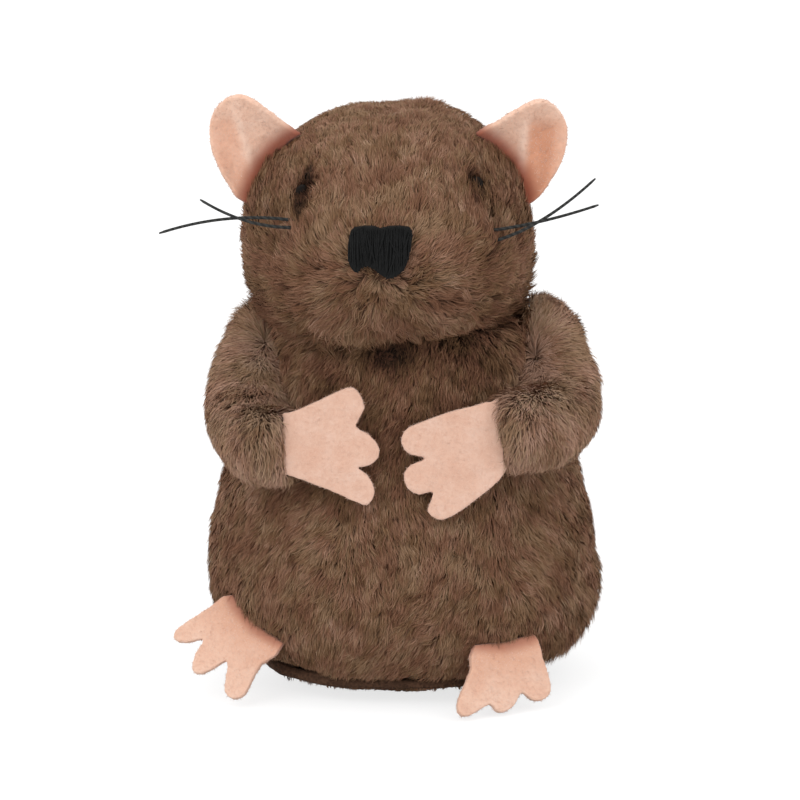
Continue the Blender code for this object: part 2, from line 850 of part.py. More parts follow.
def main():
    """Builds the whole toy."""
    clear_scene()
    plush = make_material("brown plush", (0.19, 0.10, 0.06), 0.95)
    felt = make_material("pink felt", (0.78, 0.48, 0.36), 0.95)
    wadding = make_material("white wadding", (0.80, 0.80, 0.78), 0.95)
    canvas = make_material("canvas", (0.60, 0.54, 0.40), 0.90)
    black_thread = make_material("black thread", (0.012, 0.012, 0.014), 0.70)
    grey_thread = make_material("dark grey thread", (0.035, 0.035, 0.033), 0.60)
    bead = make_material("dark bead", (0.010, 0.008, 0.007), 0.25)

    body_form = solid_sack(BODY, SACK_RINGS, SACK_SEGMENTS, inset=-GAP)
    body_form = as_cutter(add_object("body_form", body_form))
    head_form = solid_sack(HEAD, SACK_RINGS, SACK_SEGMENTS, inset=-GAP)
    head_form = as_cutter(add_object("head_form", head_form))

    body = body_pieces(plush, wadding, canvas)
    head = head_pieces(plush, wadding)
    nose(black_thread, head_form, head)
    eye("right", RIGHT_EYE_PLACE, bead, head)
    eye("left", LEFT_EYE_PLACE, bead, head)
    for name in WHISKER_SHARES:
        whisker(name, grey_thread, head)
    ear("right", RIGHT_EAR_LENGTH, RIGHT_EAR_WAY, RIGHT_EAR_PLACE, felt, head_form, head)
    ear("left", LEFT_EAR_LENGTH, LEFT_EAR_WAY, LEFT_EAR_PLACE, felt, head_form, head)

    right_sleeve = arm_pieces("right", RIGHT_ARM_SHARES, plush, wadding, body_form, body)
    left_sleeve = arm_pieces("left", LEFT_ARM_SHARES, plush, wadding, body_form, body)
    paw("right", RIGHT_PAW_SHARES, RIGHT_PAW_LENGTH, RIGHT_PAW_WAY, RIGHT_ARM_SHARES,
        felt, right_sleeve)
    paw("left", LEFT_PAW_SHARES, LEFT_PAW_LENGTH, LEFT_PAW_WAY, LEFT_ARM_SHARES,
        felt, left_sleeve)
    foot("right", RIGHT_FOOT_SHARES, RIGHT_FOOT_LENGTH, RIGHT_FOOT_WAY,
         RIGHT_FOOT_PLACE, felt, body_form, body)
    foot("left", LEFT_FOOT_SHARES, LEFT_FOOT_LENGTH, LEFT_FOOT_WAY,
         LEFT_FOOT_PLACE, felt, body_form, body)


if __name__ == "__main__":
    main()
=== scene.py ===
"""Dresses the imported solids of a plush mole, a toy for cats, as its photograph shows it.

The toy faces -Y and its own right is at -X. Lengths are in metres, unless a name ends in
_mm. The long pile grows as real fibres on the cloth, since nothing else gives its combed
streaks and its soft outline.
"""

import logging
import math
from collections.abc import Iterable
from dataclasses import dataclass
from enum import Enum

import bmesh
import bpy
import numpy as np
from mathutils import Matrix, Vector
from mathutils.bvhtree import BVHTree
from mathutils.kdtree import KDTree


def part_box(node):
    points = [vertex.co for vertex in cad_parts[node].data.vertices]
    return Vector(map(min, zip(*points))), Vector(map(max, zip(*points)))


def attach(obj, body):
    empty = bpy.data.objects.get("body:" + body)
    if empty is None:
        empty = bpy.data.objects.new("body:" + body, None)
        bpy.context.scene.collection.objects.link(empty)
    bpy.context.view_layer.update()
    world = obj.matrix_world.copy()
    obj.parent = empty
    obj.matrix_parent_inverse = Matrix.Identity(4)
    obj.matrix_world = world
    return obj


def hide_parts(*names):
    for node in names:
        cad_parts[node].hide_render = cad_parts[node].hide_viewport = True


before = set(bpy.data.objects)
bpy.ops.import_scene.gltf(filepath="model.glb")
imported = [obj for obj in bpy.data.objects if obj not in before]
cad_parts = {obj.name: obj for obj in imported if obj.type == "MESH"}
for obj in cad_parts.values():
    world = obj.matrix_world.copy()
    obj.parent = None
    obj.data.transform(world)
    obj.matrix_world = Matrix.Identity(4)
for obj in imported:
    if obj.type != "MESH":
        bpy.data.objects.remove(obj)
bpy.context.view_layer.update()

LOG = logging.getLogger("plush_mole")
MM = 0.001

# The export keeps a map of this name, so each fibre lies on it by its tone and its height
PILE_MAP = "OFBake"
# The attribute of painted shadow, warm shade and highlight on the felts
PAINTED_TINTS = "tints"

X, Y, Z = 0, 1, 2
CAMERA_ELEVATION = 15.0

# What a shader node takes: a number, a few numbers or another node's output
Socket = bpy.types.NodeSocket
Given = float | tuple[float, ...] | Socket

# The places and hex colours of a colour ramp
Stops = Iterable[tuple[float, str]]


class Side(Enum):
    """The toy's own sides."""

    RIGHT = "right"
    LEFT = "left"

    @property
    def sign(self) -> int:
        """The side's sign along X."""
        return -1 if self is Side.RIGHT else 1


def linear(hex_colour: str) -> tuple[float, float, float, float]:
    """Turns an sRGB colour into linear RGB.

    Args:
        hex_colour: a hash sign and six digits.

    Returns:
        The linear red, green and blue, and an alpha of 1.
    """
    steps = [int(hex_colour[i : i + 2], 16) / 255 for i in (1, 3, 5)]
    bright = [s / 12.92 if s <= 0.04045 else ((s + 0.055) / 1.055) ** 2.4 for s in steps]
    return (*bright, 1.0)


class Recipe:
    """A node tree while it is put together, for a material or for the world."""

    def __init__(self, owner: bpy.types.Material | bpy.types.World) -> None:
        """Empties a node tree, to fill it anew.

        Args:
            owner: the material or the world that it belongs to.
        """
        self.owner = owner
        owner.use_nodes = True
        self.tree = owner.node_tree
        self.tree.nodes.clear()

    @classmethod
    def material(cls, name: str) -> "Recipe":
        """Starts a material that is called what the real one is."""
        return cls(bpy.data.materials.new(name))

    def add(
        self,
        kind: str,
        inputs: dict[str | int, Given] | None = None,
        out: str | int = 0,
        stops: Stops = (),
        **settings: str | bool,
    ) -> Socket | None:
        """Adds a shader node with its settings, values and links.

        Args:
            kind: the node's type, without the word that each type starts with.
            inputs: a value or a socket for each input's name or number.
            out: the name or number of the output that is wanted.
            stops: places and hex colours of a colour ramp.
            settings: the node's own properties.

        Returns:
            That output's socket, if the node has outputs.
        """
        node = self.tree.nodes.new("ShaderNode" + kind)
        for name, value in settings.items():
            setattr(node, name, value)
        for key, value in (inputs or {}).items():
            if isinstance(value, bpy.types.NodeSocket):
                self.tree.links.new(value, node.inputs[key])
            else:
                node.inputs[key].default_value = value
        for number, (place, colour) in enumerate(stops):
            ramp = node.color_ramp.elements
            stop = ramp[number] if number < 2 else ramp.new(place)
            stop.position = place
            stop.color = linear(colour)
        return node.outputs[out] if len(node.outputs) else None

    def place(self) -> Socket:
        """The socket of a place in the piece's own space."""
        return self.add("TexCoord", out="Object")

    def parts(self, kind: str, name: str, whole: Socket) -> bpy.types.NodeOutputs:
        """The outputs of a node that takes a vector or a colour apart."""
        return self.add(kind, {name: whole}).node.outputs

    def reckon(
        self, operation: str, first: Given, second: Given = 0.0, **settings: bool
    ) -> Socket:
        """One sum of two numbers or sockets."""
        return self.add("Math", {0: first, 1: second}, operation=operation, **settings)

    def blend(self, share: Given, first: Given, second: Given, **settings: str) -> Socket:
        """Two colours mixed by a share."""
        inputs = {0: share, 6: first, 7: second}
        return self.add("Mix", inputs, out=2, data_type="RGBA", **settings)

    def mix(self, share: Given, first: Given, second: Given) -> Socket:
        """Two numbers mixed by a share."""
        return self.add("Mix", {0: share, 2: first, 3: second}, data_type="FLOAT")

    def ramp(self, share: Socket, stops: Stops) -> Socket:
        """The colour of a ramp at a share."""
        return self.add("ValToRGB", {"Fac": share}, stops=stops)

    def span(self, share: Socket, low: float, high: float) -> Socket:
        """A number that goes from low to high as the share does from 0 to 1."""
        return self.add("MapRange", {"Value": share, "To Min": low, "To Max": high})

    def noise(
        self, place: Socket, grain_mm: float, detail: float, distortion: float = 0.0
    ) -> Socket:
        """Adds a soft noise.

        Args:
            place: where it is read.
            grain_mm: the size of its grains.
            detail: how much fine grain lies in the coarse.
            distortion: how much the grain curls.

        Returns:
            The noise's socket.
        """
        inputs = {"Vector": place, "Scale": 1 / (grain_mm * MM)}
        inputs.update({"Detail": detail, "Distortion": distortion})
        return self.add("TexNoise", inputs, out="Fac")

    def seen_straight(self) -> Socket:
        """Asks how a ray reaches a surface.

        Returns:
            A share of 1 for what is seen straight, in a mirror or through glass.
        """
        rays = self.add("LightPath").node.outputs
        seen = rays["Is Camera Ray"]
        for more in ("Is Glossy Ray", "Is Transmission Ray"):
            seen = self.reckon("MAXIMUM", seen, rays[more])
        return seen

    def close(
        self,
        colour: Socket,
        roughness: Socket,
        relief: tuple[Socket, float, float] | None = None,
        specular: float = 0.5,
        more: Iterable[tuple[str, float]] = (),
    ) -> bpy.types.Material:
        """Ends a material with one Principled shader.

        Args:
            colour: its colour's socket.
            roughness: its roughness's socket.
            relief: a height's socket, how many millimetres high it is, and its strength.
            specular: its specular level.
            more: other inputs of the shader by name.

        Returns:
            The material.
        """
        inputs = {"Base Color": colour, "Roughness": roughness, "Specular IOR Level": specular}
        inputs.update(more)
        if relief:
            height, high_mm, strength = relief
            bump = {"Height": height, "Distance": high_mm * MM, "Strength": strength}
            inputs["Normal"] = self.add("Bump", bump)
        shader = self.add("BsdfPrincipled", inputs)
        self.add("OutputMaterial", {"Surface": shader})
        return self.owner


@dataclass(frozen=True)
class PlushPile:
    """Acrylic long pile: fine fibres of two close browns, with painted shade towards their roots
    that darkens the pile between the tufts.

    Attributes:
        olive: the olive brown, from its deepest to its lightest tone.
        rosy: the rosy brown in the same way.
        stops: the tone of each of these colours.
        painted_root_light: how light a fibre is painted at its root, as painted shade deep in the
            pile.
        painted_shade_top: how far up the painted shade reaches; above it a fibre is fully light.
        streaks_across: fine streaks over the map.
        streaks_along: how often they change along a fibre.
        wear: by how much they change its tone.
        roughness: of the deepest and of the lightest fibres.
        specular: their specular level.
    """

    olive: tuple[str, ...] = ("#1E150E", "#553C2A", "#7A593E", "#9C7C60", "#BC9D82")
    rosy: tuple[str, ...] = ("#1E130E", "#56382A", "#7E5741", "#A17A62", "#C19C87")
    stops: tuple[float, ...] = (0.0, 0.16, 0.36, 0.68, 1.0)
    painted_root_light: float = 0.62
    painted_shade_top: float = 0.8
    streaks_across: float = 90.0
    streaks_along: float = 2.2
    wear: float = 0.12
    roughness: tuple[float, float] = (0.85, 0.7)
    specular: float = 0.15

    def dye(self, made: Recipe, tone: Socket, colours: tuple[str, ...]) -> Socket:
        """One brown at a tone. A new ramp has its two ends, so these are set first."""
        order = (0, 4, 1, 2, 3)
        return made.ramp(tone, [(self.stops[number], colours[number]) for number in order])

    def make(self) -> bpy.types.Material:
        """Makes the material.

        The left half of the fibres' map is the olive brown, and the right half the rosy one.

        Returns:
            The material, which reads each fibre's dye and its tone, and paints shade by the height
            along it.
        """
        made = Recipe.material("acrylic_plush_pile")
        lay = made.add("UVMap", uv_map=PILE_MAP)
        axes = made.parts("SeparateXYZ", "Vector", lay)
        across, height = axes["X"], axes["Y"]
        rosy = made.reckon("GREATER_THAN", across, 0.5)
        tone = made.reckon("FRACT", made.reckon("MULTIPLY", across, 2.0))
        scale = (self.streaks_across, self.streaks_along, 1.0)
        grain = made.add("Mapping", {"Vector": lay, "Scale": scale})
        inputs = {"Vector": grain, "Scale": 1.0, "Detail": 2.0}
        streak = made.add("TexNoise", inputs, out="Fac", noise_dimensions="2D")
        inputs = {"Value": streak, "From Min": 0.3, "From Max": 0.7}
        worn = made.add("MapRange", {**inputs, "To Min": -self.wear, "To Max": self.wear})
        shown = made.reckon("ADD", tone, worn, use_clamp=True)
        olive_dye, rosy_dye = (self.dye(made, shown, dye) for dye in (self.olive, self.rosy))
        dyed = made.blend(rosy, olive_dye, rosy_dye)
        # Painted shade: each fibre is darker towards its root, for the shade deep in the pile
        inputs = {"Value": height, "From Max": self.painted_shade_top, "To Min": self.painted_root_light}
        depth = made.add("MapRange", inputs, interpolation_type="SMOOTHSTEP")
        colour = made.blend(1.0, dyed, depth, blend_type="MULTIPLY")
        return made.close(colour, made.span(shown, *self.roughness), specular=self.specular)


@dataclass(frozen=True)
class PlushGround:
    """The knitted ground of the plush, matt and dark, that shows between the tufts."""

    ground: str = "#3E2A1E"
    loop: str = "#5C4232"
    stitch_mm: float = 0.9
    patch_mm: float = 6.0
    relief: tuple[float, float] = (0.25, 0.8)
    roughness: tuple[float, float] = (0.85, 1.0)
    specular: float = 0.2

    def make(self) -> bpy.types.Material:
        """Makes the material.

        Returns:
            A knit of fine loops with uneven dye.
        """
        made = Recipe.material("knitted_plush_ground")
        place = made.place()
        inputs = {"Vector": place, "Scale": 1 / (self.stitch_mm * MM)}
        loops = made.add("TexVoronoi", inputs, out="Distance")
        dye = made.noise(place, self.patch_mm, 4.0)
        stops = ((0.05, self.ground), (0.5, self.loop))
        colour = made.ramp(made.reckon("MULTIPLY", loops, dye), stops)
        dull = made.span(dye, *self.roughness)
        return made.close(colour, dull, (loops, *self.relief), self.specular)


@dataclass(frozen=True)
class NeedleFelt:
    """Needle felt: matted short fibres, matt, mottled, with painted shade where it meets the pile.
    """

    base: str = "#E2B9A3"
    thin: str = "#E8C7B6"
    matted: str = "#DAAB94"
    # Painted light: flush is the pile's shadow at the seam, warm the shade in an ear's cup and at
    # a heel, pale the highlight on an ear's crease
    seam_shadow: str = "#9A4E36"
    warm: str = "#D08E6C"
    pale: str = "#F6DAC9"
    fibre_mm: float = 0.45
    patch_mm: float = 5.0
    patch_share: float = 0.45
    relief: tuple[float, float] = (0.12, 0.6)
    roughness: tuple[float, float] = (0.82, 1.0)
    specular: float = 0.15
    sheen: tuple[float, float] = (0.25, 0.6)

    def make(self, name: str) -> bpy.types.Material:
        """Makes the felt.

        Args:
            name: the material's name, which tells one dye lot from another.

        Returns:
            The material, which reads the painted tints of its piece: shadow, warm shade and
            highlight.
        """
        made = Recipe.material(name)
        place = made.place()
        fibres = made.noise(place, self.fibre_mm, 6.0, 1.6)
        mottle = made.mix(self.patch_share, fibres, made.noise(place, self.patch_mm, 3.0))
        colour = made.ramp(mottle, ((0.3, self.matted), (0.72, self.thin), (0.5, self.base)))
        tints = made.add("Attribute", out="Color", attribute_name=PAINTED_TINTS)
        shares = made.parts("SeparateColor", "Color", tints)
        # Painted shadow, warm shade and highlight over the felt's own colours
        for share, tint in (("Green", self.warm), ("Blue", self.pale), ("Red", self.seam_shadow)):
            colour = made.blend(shares[share], colour, linear(tint))
        dull = made.span(fibres, *self.roughness)
        sheen = zip(("Sheen Weight", "Sheen Roughness"), self.sheen)
        return made.close(colour, dull, (fibres, *self.relief), self.specular, sheen)


@dataclass(frozen=True)
class FeltNap:
    """The loose fibres that stand off a felt's face and cut edge."""

    low: str = "#DDB39C"
    high: str = "#EED2C2"
    roughness: tuple[float, float] = (0.8, 0.95)
    specular: float = 0.15

    def make(self, name: str) -> bpy.types.Material:
        """Makes the material.

        Args:
            name: what it is called.

        Returns:
            The material, which reads each fibre's tone.
        """
        made = Recipe.material(name)
        axes = made.parts("SeparateXYZ", "Vector", made.add("UVMap", uv_map=PILE_MAP))
        colour = made.ramp(axes["X"], ((0.0, self.low), (1.0, self.high)))
        return made.close(colour, made.span(axes["Y"], *self.roughness), specular=self.specular)


@dataclass(frozen=True)
class GrainedFinish:
    """A finish whose colour, gloss and relief all follow one grain.

    Attributes:
        name: what the real material is called.
        dark: its colour in the grain's hollows.
        light: its colour on the grain's ridges.
        stops: the shares of the grain where these are reached.
        roughness: in the hollows and on the ridges.
        relief: its height in millimetres and its strength.
        grain_mm: the scale of the grain.
        detail: how much fine grain lies in the coarse.
        distortion: how much the grain curls.
        specular: its specular level.
        stretch: how the grain is scaled along each axis.
        bands: the directions of bands, for a twist or a weave; without any it is a noise.
    """

    name: str
    dark: str
    light: str
    stops: tuple[float, float]
    roughness: tuple[float, float]
    relief: tuple[float, float]
    grain_mm: float
    detail: float = 2.0
    distortion: float = 0.0
    specular: float = 0.5
    stretch: tuple[float, float, float] = (1.0, 1.0, 1.0)
    bands: tuple[str, ...] = ()

    def grain(self, made: Recipe) -> Socket:
        """Adds the grain; where bands cross, the higher one shows.

        Args:
            made: the material while it is put together.

        Returns:
            The grain's socket.
        """
        place = made.add("Mapping", {"Vector": made.place(), "Scale": self.stretch})
        if not self.bands:
            return made.noise(place, self.grain_mm, self.detail, self.distortion)
        inputs = {"Vector": place, "Scale": 1 / (self.grain_mm * MM)}
        inputs.update({"Detail": self.detail, "Distortion": self.distortion})
        waves = [
            made.add("TexWave", inputs, out="Fac", bands_direction=band) for band in self.bands
        ]
        return waves[0] if len(waves) == 1 else made.reckon("MAXIMUM", *waves)

    def make(self) -> bpy.types.Material:
        """Makes the material.

        Returns:
            The material, whose grain steers colour, gloss and relief.
        """
        made = Recipe.material(self.name)
        grain = self.grain(made)
        colour = made.ramp(grain, tuple(zip(self.stops, (self.dark, self.light))))
        gloss = made.span(grain, *self.roughness)
        return made.close(colour, gloss, (grain, *self.relief), self.specular)


# Black floss in satin stitches, with plies that show as fine streaks along them
FLOSS = GrainedFinish(
    "rayon_embroidery_floss",
    "#040404",
    "#121313",
    stops=(0.35, 0.7),
    roughness=(0.85, 0.6),
    relief=(0.1, 0.7),
    grain_mm=0.22,
    detail=3.0,
    specular=0.2,
    stretch=(1.0, 1.0, 0.18),
)
# Dark grey cord, whose twist shows as a fine ripple of tone
CORD = GrainedFinish(
    "stiffened_polyester_cord",
    "#111211",
    "#2A2B29",
    stops=(0.2, 0.9),
    roughness=(0.85, 0.7),
    relief=(0.05, 0.5),
    grain_mm=3.0,
    detail=1.0,
    distortion=2.0,
    bands=("DIAGONAL",),
)
# Dark brown resin, dulled by lint, with faint tumbling marks
RESIN = GrainedFinish(
    "moulded_resin_bead",
    "#0A0604",
    "#1A100A",
    stops=(0.3, 0.8),
    roughness=(0.5, 0.7),
    relief=(0.02, 0.4),
    grain_mm=0.8,
    detail=4.0,
    specular=0.1,
)
# Off-white hollow fibres in soft curled clumps
WADDING = GrainedFinish(
    "polyester_wadding",
    "#CFC9BC",
    "#F2EFE8",
    stops=(0.35, 0.65),
    roughness=(0.9, 1.0),
    relief=(0.6, 1.0),
    grain_mm=3.0,
    detail=8.0,
    distortion=2.5,
)
# Unbleached cotton in a plain weave, as a herb pouch is sewn from
COTTON = GrainedFinish(
    "plain_weave_cotton",
    "#9C8A66",
    "#D9C9A3",
    stops=(0.2, 0.8),
    roughness=(1.0, 0.8),
    relief=(0.15, 1.0),
    grain_mm=3.78,
    bands=("X", "Z"),
)


def smooth_step(values: np.ndarray, low: float, high: float) -> np.ndarray:
    """One share for each value, which rises softly from 0 at low to 1 at high."""
    share = ((values - low) / (high - low)).clip(0.0, 1.0)
    return share * share * (3.0 - 2.0 * share)


@dataclass(frozen=True)
class Rise:
    """A share that rises softly from 0 to 1 on the way from one plane to another.

    The panels have one for each part of the cover that they treat in a way of its own.

    Attributes:
        axis: the planes' axis, X, Y or Z.
        start_mm: where it is still 0.
        end_mm: where it has come to 1, on either side of the start.
        middle_mm: if it is given, distances from this plane count instead of places.
    """

    axis: int
    start_mm: float
    end_mm: float
    middle_mm: float | None = None

    def at(self, places: np.ndarray) -> np.ndarray:
        """The share at each place."""
        along = places[:, self.axis] / MM
        if self.middle_mm is not None:
            along = np.abs(along - self.middle_mm)
        return smooth_step(along, self.start_mm, self.end_mm)


# The front of the toy, where the photograph shows its pile
FRONT = Rise(Y, 0.0, -12.0)


def mound(values: np.ndarray, middle: float, half_width: float) -> np.ndarray:
    """A soft mound that is 1 in its middle and falls to both sides."""
    return np.exp(-(((values - middle) / half_width) ** 2))


def unit(vectors: np.ndarray) -> np.ndarray:
    """Each row at a length of 1."""
    return vectors / np.maximum(np.linalg.norm(vectors, axis=-1, keepdims=True), 1e-12)


def flattened(ways: np.ndarray, normals: np.ndarray) -> np.ndarray:
    """Each way laid into the surface that its normal stands on, at a length of 1."""
    return unit(ways - normals * (ways * normals).sum(-1, keepdims=True))


def shades_at(places: np.ndarray, shades_mm: Iterable[tuple[float, ...]]) -> np.ndarray:
    """Patches of painted light and shade on the front, where the photograph has them.

    Args:
        places: points on the toy.
        shades_mm: for each patch how far across it is, how high it is as the camera sees
            it, its half width, its half height and how much lighter it is.

    Returns:
        The painted light to add to the tone at each place, which is painted shade where it is
        below 0.
    """
    lean = math.radians(CAMERA_ELEVATION)
    seen = places[:, Z] * math.cos(lean) + places[:, Y] * math.sin(lean)
    tone = np.zeros(len(places))
    for across, height, half_width, half_height, lighter in shades_mm:
        wide = mound(places[:, X] / MM, across, half_width)
        tone += lighter * wide * mound(seen / MM, height, half_height)
    return tone * FRONT.at(places)


class SoftField:
    """A soft random field of a few sine waves, the same in each run.

    Attributes:
        strength: brings the mean of the waves to values of about -1 to 1.
    """

    strength: float = 2.6

    def __init__(self, wavelength: float, seed: int, waves: int = 14) -> None:
        """Draws the waves.

        Args:
            wavelength: the mean distance from crest to crest.
            seed: chooses one field among many.
            waves: how many are summed.
        """
        rng = np.random.default_rng(seed)
        ways = unit(rng.normal(size=(waves, 3)))
        self.ways = ways * (math.tau / wavelength) * rng.uniform(0.6, 1.4, (waves, 1))
        self.phases = rng.uniform(0, math.tau, waves)

    def at(self, places: np.ndarray) -> np.ndarray:
        """The field, mostly between -1 and 1, at each place."""
        return np.sin(places @ self.ways.T + self.phases).mean(1) * self.strength


class Solid:
    """A CAD node, or a piece, as a closed surface that can be asked about."""

    def __init__(self, mesh: bpy.types.Mesh) -> None:
        """Builds the search tree.

        Args:
            mesh: the surface.
        """
        places, _ = points_of(mesh)
        self.low, self.high = places.min(0), places.max(0)
        faces = [tuple(face.vertices) for face in mesh.polygons]
        self.tree = BVHTree.FromPolygons(places.tolist(), faces)

    @classmethod
    def of_node(cls, name: str) -> "Solid":
        """The surface of a CAD node."""
        return cls(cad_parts[name].data)

    def distance(self, place: Vector | np.ndarray) -> float:
        """How far the surface is from a place."""
        return self.tree.find_nearest(place)[3]


def nearness(places: np.ndarray, node: str, least: float, most: float) -> np.ndarray:
    """How near each place is to a CAD node.

    Args:
        places: the places.
        node: the node's name.
        least: up to this distance it is 1.
        most: from this distance it is 0.

    Returns:
        One share for each place.
    """
    solid = Solid.of_node(node)
    gap = np.array([solid.distance(place) for place in places.tolist()])
    return 1 - smooth_step(gap, least, most)


def surface_of(name: str, built: dict[str, Solid]) -> Solid:
    """The surface of a piece that is made already, or else of the CAD node of that name."""
    return built[name] if name in built else Solid.of_node(name)


def points_of(mesh: bpy.types.Mesh) -> tuple[np.ndarray, np.ndarray]:
    """Reads the vertices of a mesh.

    Args:
        mesh: the mesh.

    Returns:
        Their places and their normals.
    """
    places = np.empty(len(mesh.vertices) * 3)
    normals = np.empty(len(mesh.vertices) * 3)
    mesh.vertices.foreach_get("co", places)
    mesh.vertices.foreach_get("normal", normals)
    return places.reshape(-1, 3), normals.reshape(-1, 3)


def move_points(mesh: bpy.types.Mesh, places: np.ndarray) -> None:
    """Moves a mesh's vertices to new places."""
    mesh.vertices.foreach_set("co", places.ravel())
    mesh.update()


def linked(name: str, data: bpy.types.ID) -> bpy.types.Object:
    """Makes an object, and puts it in the scene.

    Args:
        name: the object's name.
        data: its mesh, its light or its camera.

    Returns:
        The new object.
    """
    made = bpy.data.objects.new(name, data)
    bpy.context.scene.collection.objects.link(made)
    return made


def evaluated(thing: bpy.types.Object) -> bpy.types.Mesh:
    """A new mesh, as an object's modifiers leave it."""
    graph = bpy.context.evaluated_depsgraph_get()
    return bpy.data.meshes.new_from_object(thing.evaluated_get(graph), depsgraph=graph)


def merged_copy(node: str) -> bmesh.types.BMesh:
    """Copies a CAD node's shape, with its loose triangles joined.

    Args:
        node: the node's name.

    Returns:
        A new bmesh, which the caller frees.
    """
    form = bmesh.new()
    form.from_mesh(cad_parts[node].data)
    bmesh.ops.remove_doubles(form, verts=form.verts, dist=0.001 * MM)
    return form


def add_piece(
    name: str, mesh: bpy.types.Mesh, material: bpy.types.Material, body: str
) -> bpy.types.Object:
    """Makes a piece of a mesh, and lets it ride on its body.

    Args:
        name: the piece's name.
        mesh: its mesh, in the place where it stays.
        material: its finish.
        body: the CAD body that carries it.

    Returns:
        The new object.
    """
    piece = linked(name, mesh)
    mesh.materials.clear()
    mesh.materials.append(material)
    mesh.shade_smooth()
    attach(piece, body)
    LOG.info("%s: %d faces", name, len(mesh.polygons))
    return piece


def to_mesh(form: bmesh.types.BMesh, name: str) -> bpy.types.Mesh:
    """Turns a bmesh into a mesh.

    Args:
        form: the bmesh, which is freed.
        name: the mesh's name.

    Returns:
        The new mesh.
    """
    mesh = bpy.data.meshes.new(name)
    form.to_mesh(mesh)
    form.free()
    return mesh


def with_modifiers(
    mesh: bpy.types.Mesh, modifiers: Iterable[tuple[str, dict]]
) -> bpy.types.Mesh:
    """Applies modifiers to a mesh.

    Args:
        mesh: what they work on.
        modifiers: for each one its type and its settings.

    Returns:
        A new mesh.
    """
    helper = linked(mesh.name, mesh)
    for kind, settings in modifiers:
        modifier = helper.modifiers.new(kind.lower(), kind)
        for name, value in settings.items():
            setattr(modifier, name, value)
    result = evaluated(helper)
    bpy.data.objects.remove(helper)
    return result


def subdivided(mesh: bpy.types.Mesh) -> bpy.types.Mesh:
    """A new mesh with each face split and rounded once."""
    return with_modifiers(mesh, [("SUBSURF", {"levels": 1, "render_levels": 1})])


@dataclass(frozen=True)
class Swelling:
    """How wadding presses a cover out between its seams, found by a cloth simulation.

    Attributes:
        pressure: of the wadding.
        mass: of the cloth at each vertex; small, as the toy is.
        stiffness: of the cloth against stretch.
        bend_stiffness: of the cloth against bending.
        quality: steps of the simulation in each frame.
        frames: for how long it swells.
        most: how far a point may move.
    """

    pressure: float = 20.0
    mass: float = 0.0001
    stiffness: float = 5.0
    bend_stiffness: float = 0.01
    quality: int = 8
    frames: int = 20
    most: float = 0.0007

    def of(self, mesh: bpy.types.Mesh) -> None:
        """Swells a mesh, whose open edges are the seams and stay where they are.

        Args:
            mesh: the cloth, which is changed.
        """
        rest, _ = points_of(mesh)
        form = bmesh.new()
        form.from_mesh(mesh)
        seam = [vertex.index for vertex in form.verts if vertex.is_boundary]
        form.free()
        helper = linked(mesh.name + "_swelling", mesh)
        helper.vertex_groups.new(name="seam").add(seam, 1.0, "REPLACE")
        cloth = helper.modifiers.new("cloth", "CLOTH")
        cloth.point_cache.frame_start = 1
        cloth.point_cache.frame_end = self.frames
        settings = cloth.settings
        settings.vertex_group_mass = "seam"
        settings.use_pressure = True
        settings.uniform_pressure_force = self.pressure
        settings.effector_weights.gravity = 0.0
        settings.mass = self.mass
        settings.quality = self.quality
        for strain in ("tension", "compression", "shear"):
            setattr(settings, strain + "_stiffness", self.stiffness)
        settings.bending_stiffness = self.bend_stiffness
        for number in range(1, self.frames + 1):
            bpy.context.scene.frame_set(number)
        swollen = evaluated(helper)
        moves = points_of(swollen)[0] - rest
        bpy.data.objects.remove(helper)
        bpy.data.meshes.remove(swollen)
        bpy.context.scene.frame_set(1)
        far = np.maximum(np.linalg.norm(moves, axis=1, keepdims=True), 1e-9)
        move_points(mesh, rest + moves * np.minimum(1.0, self.most / far))


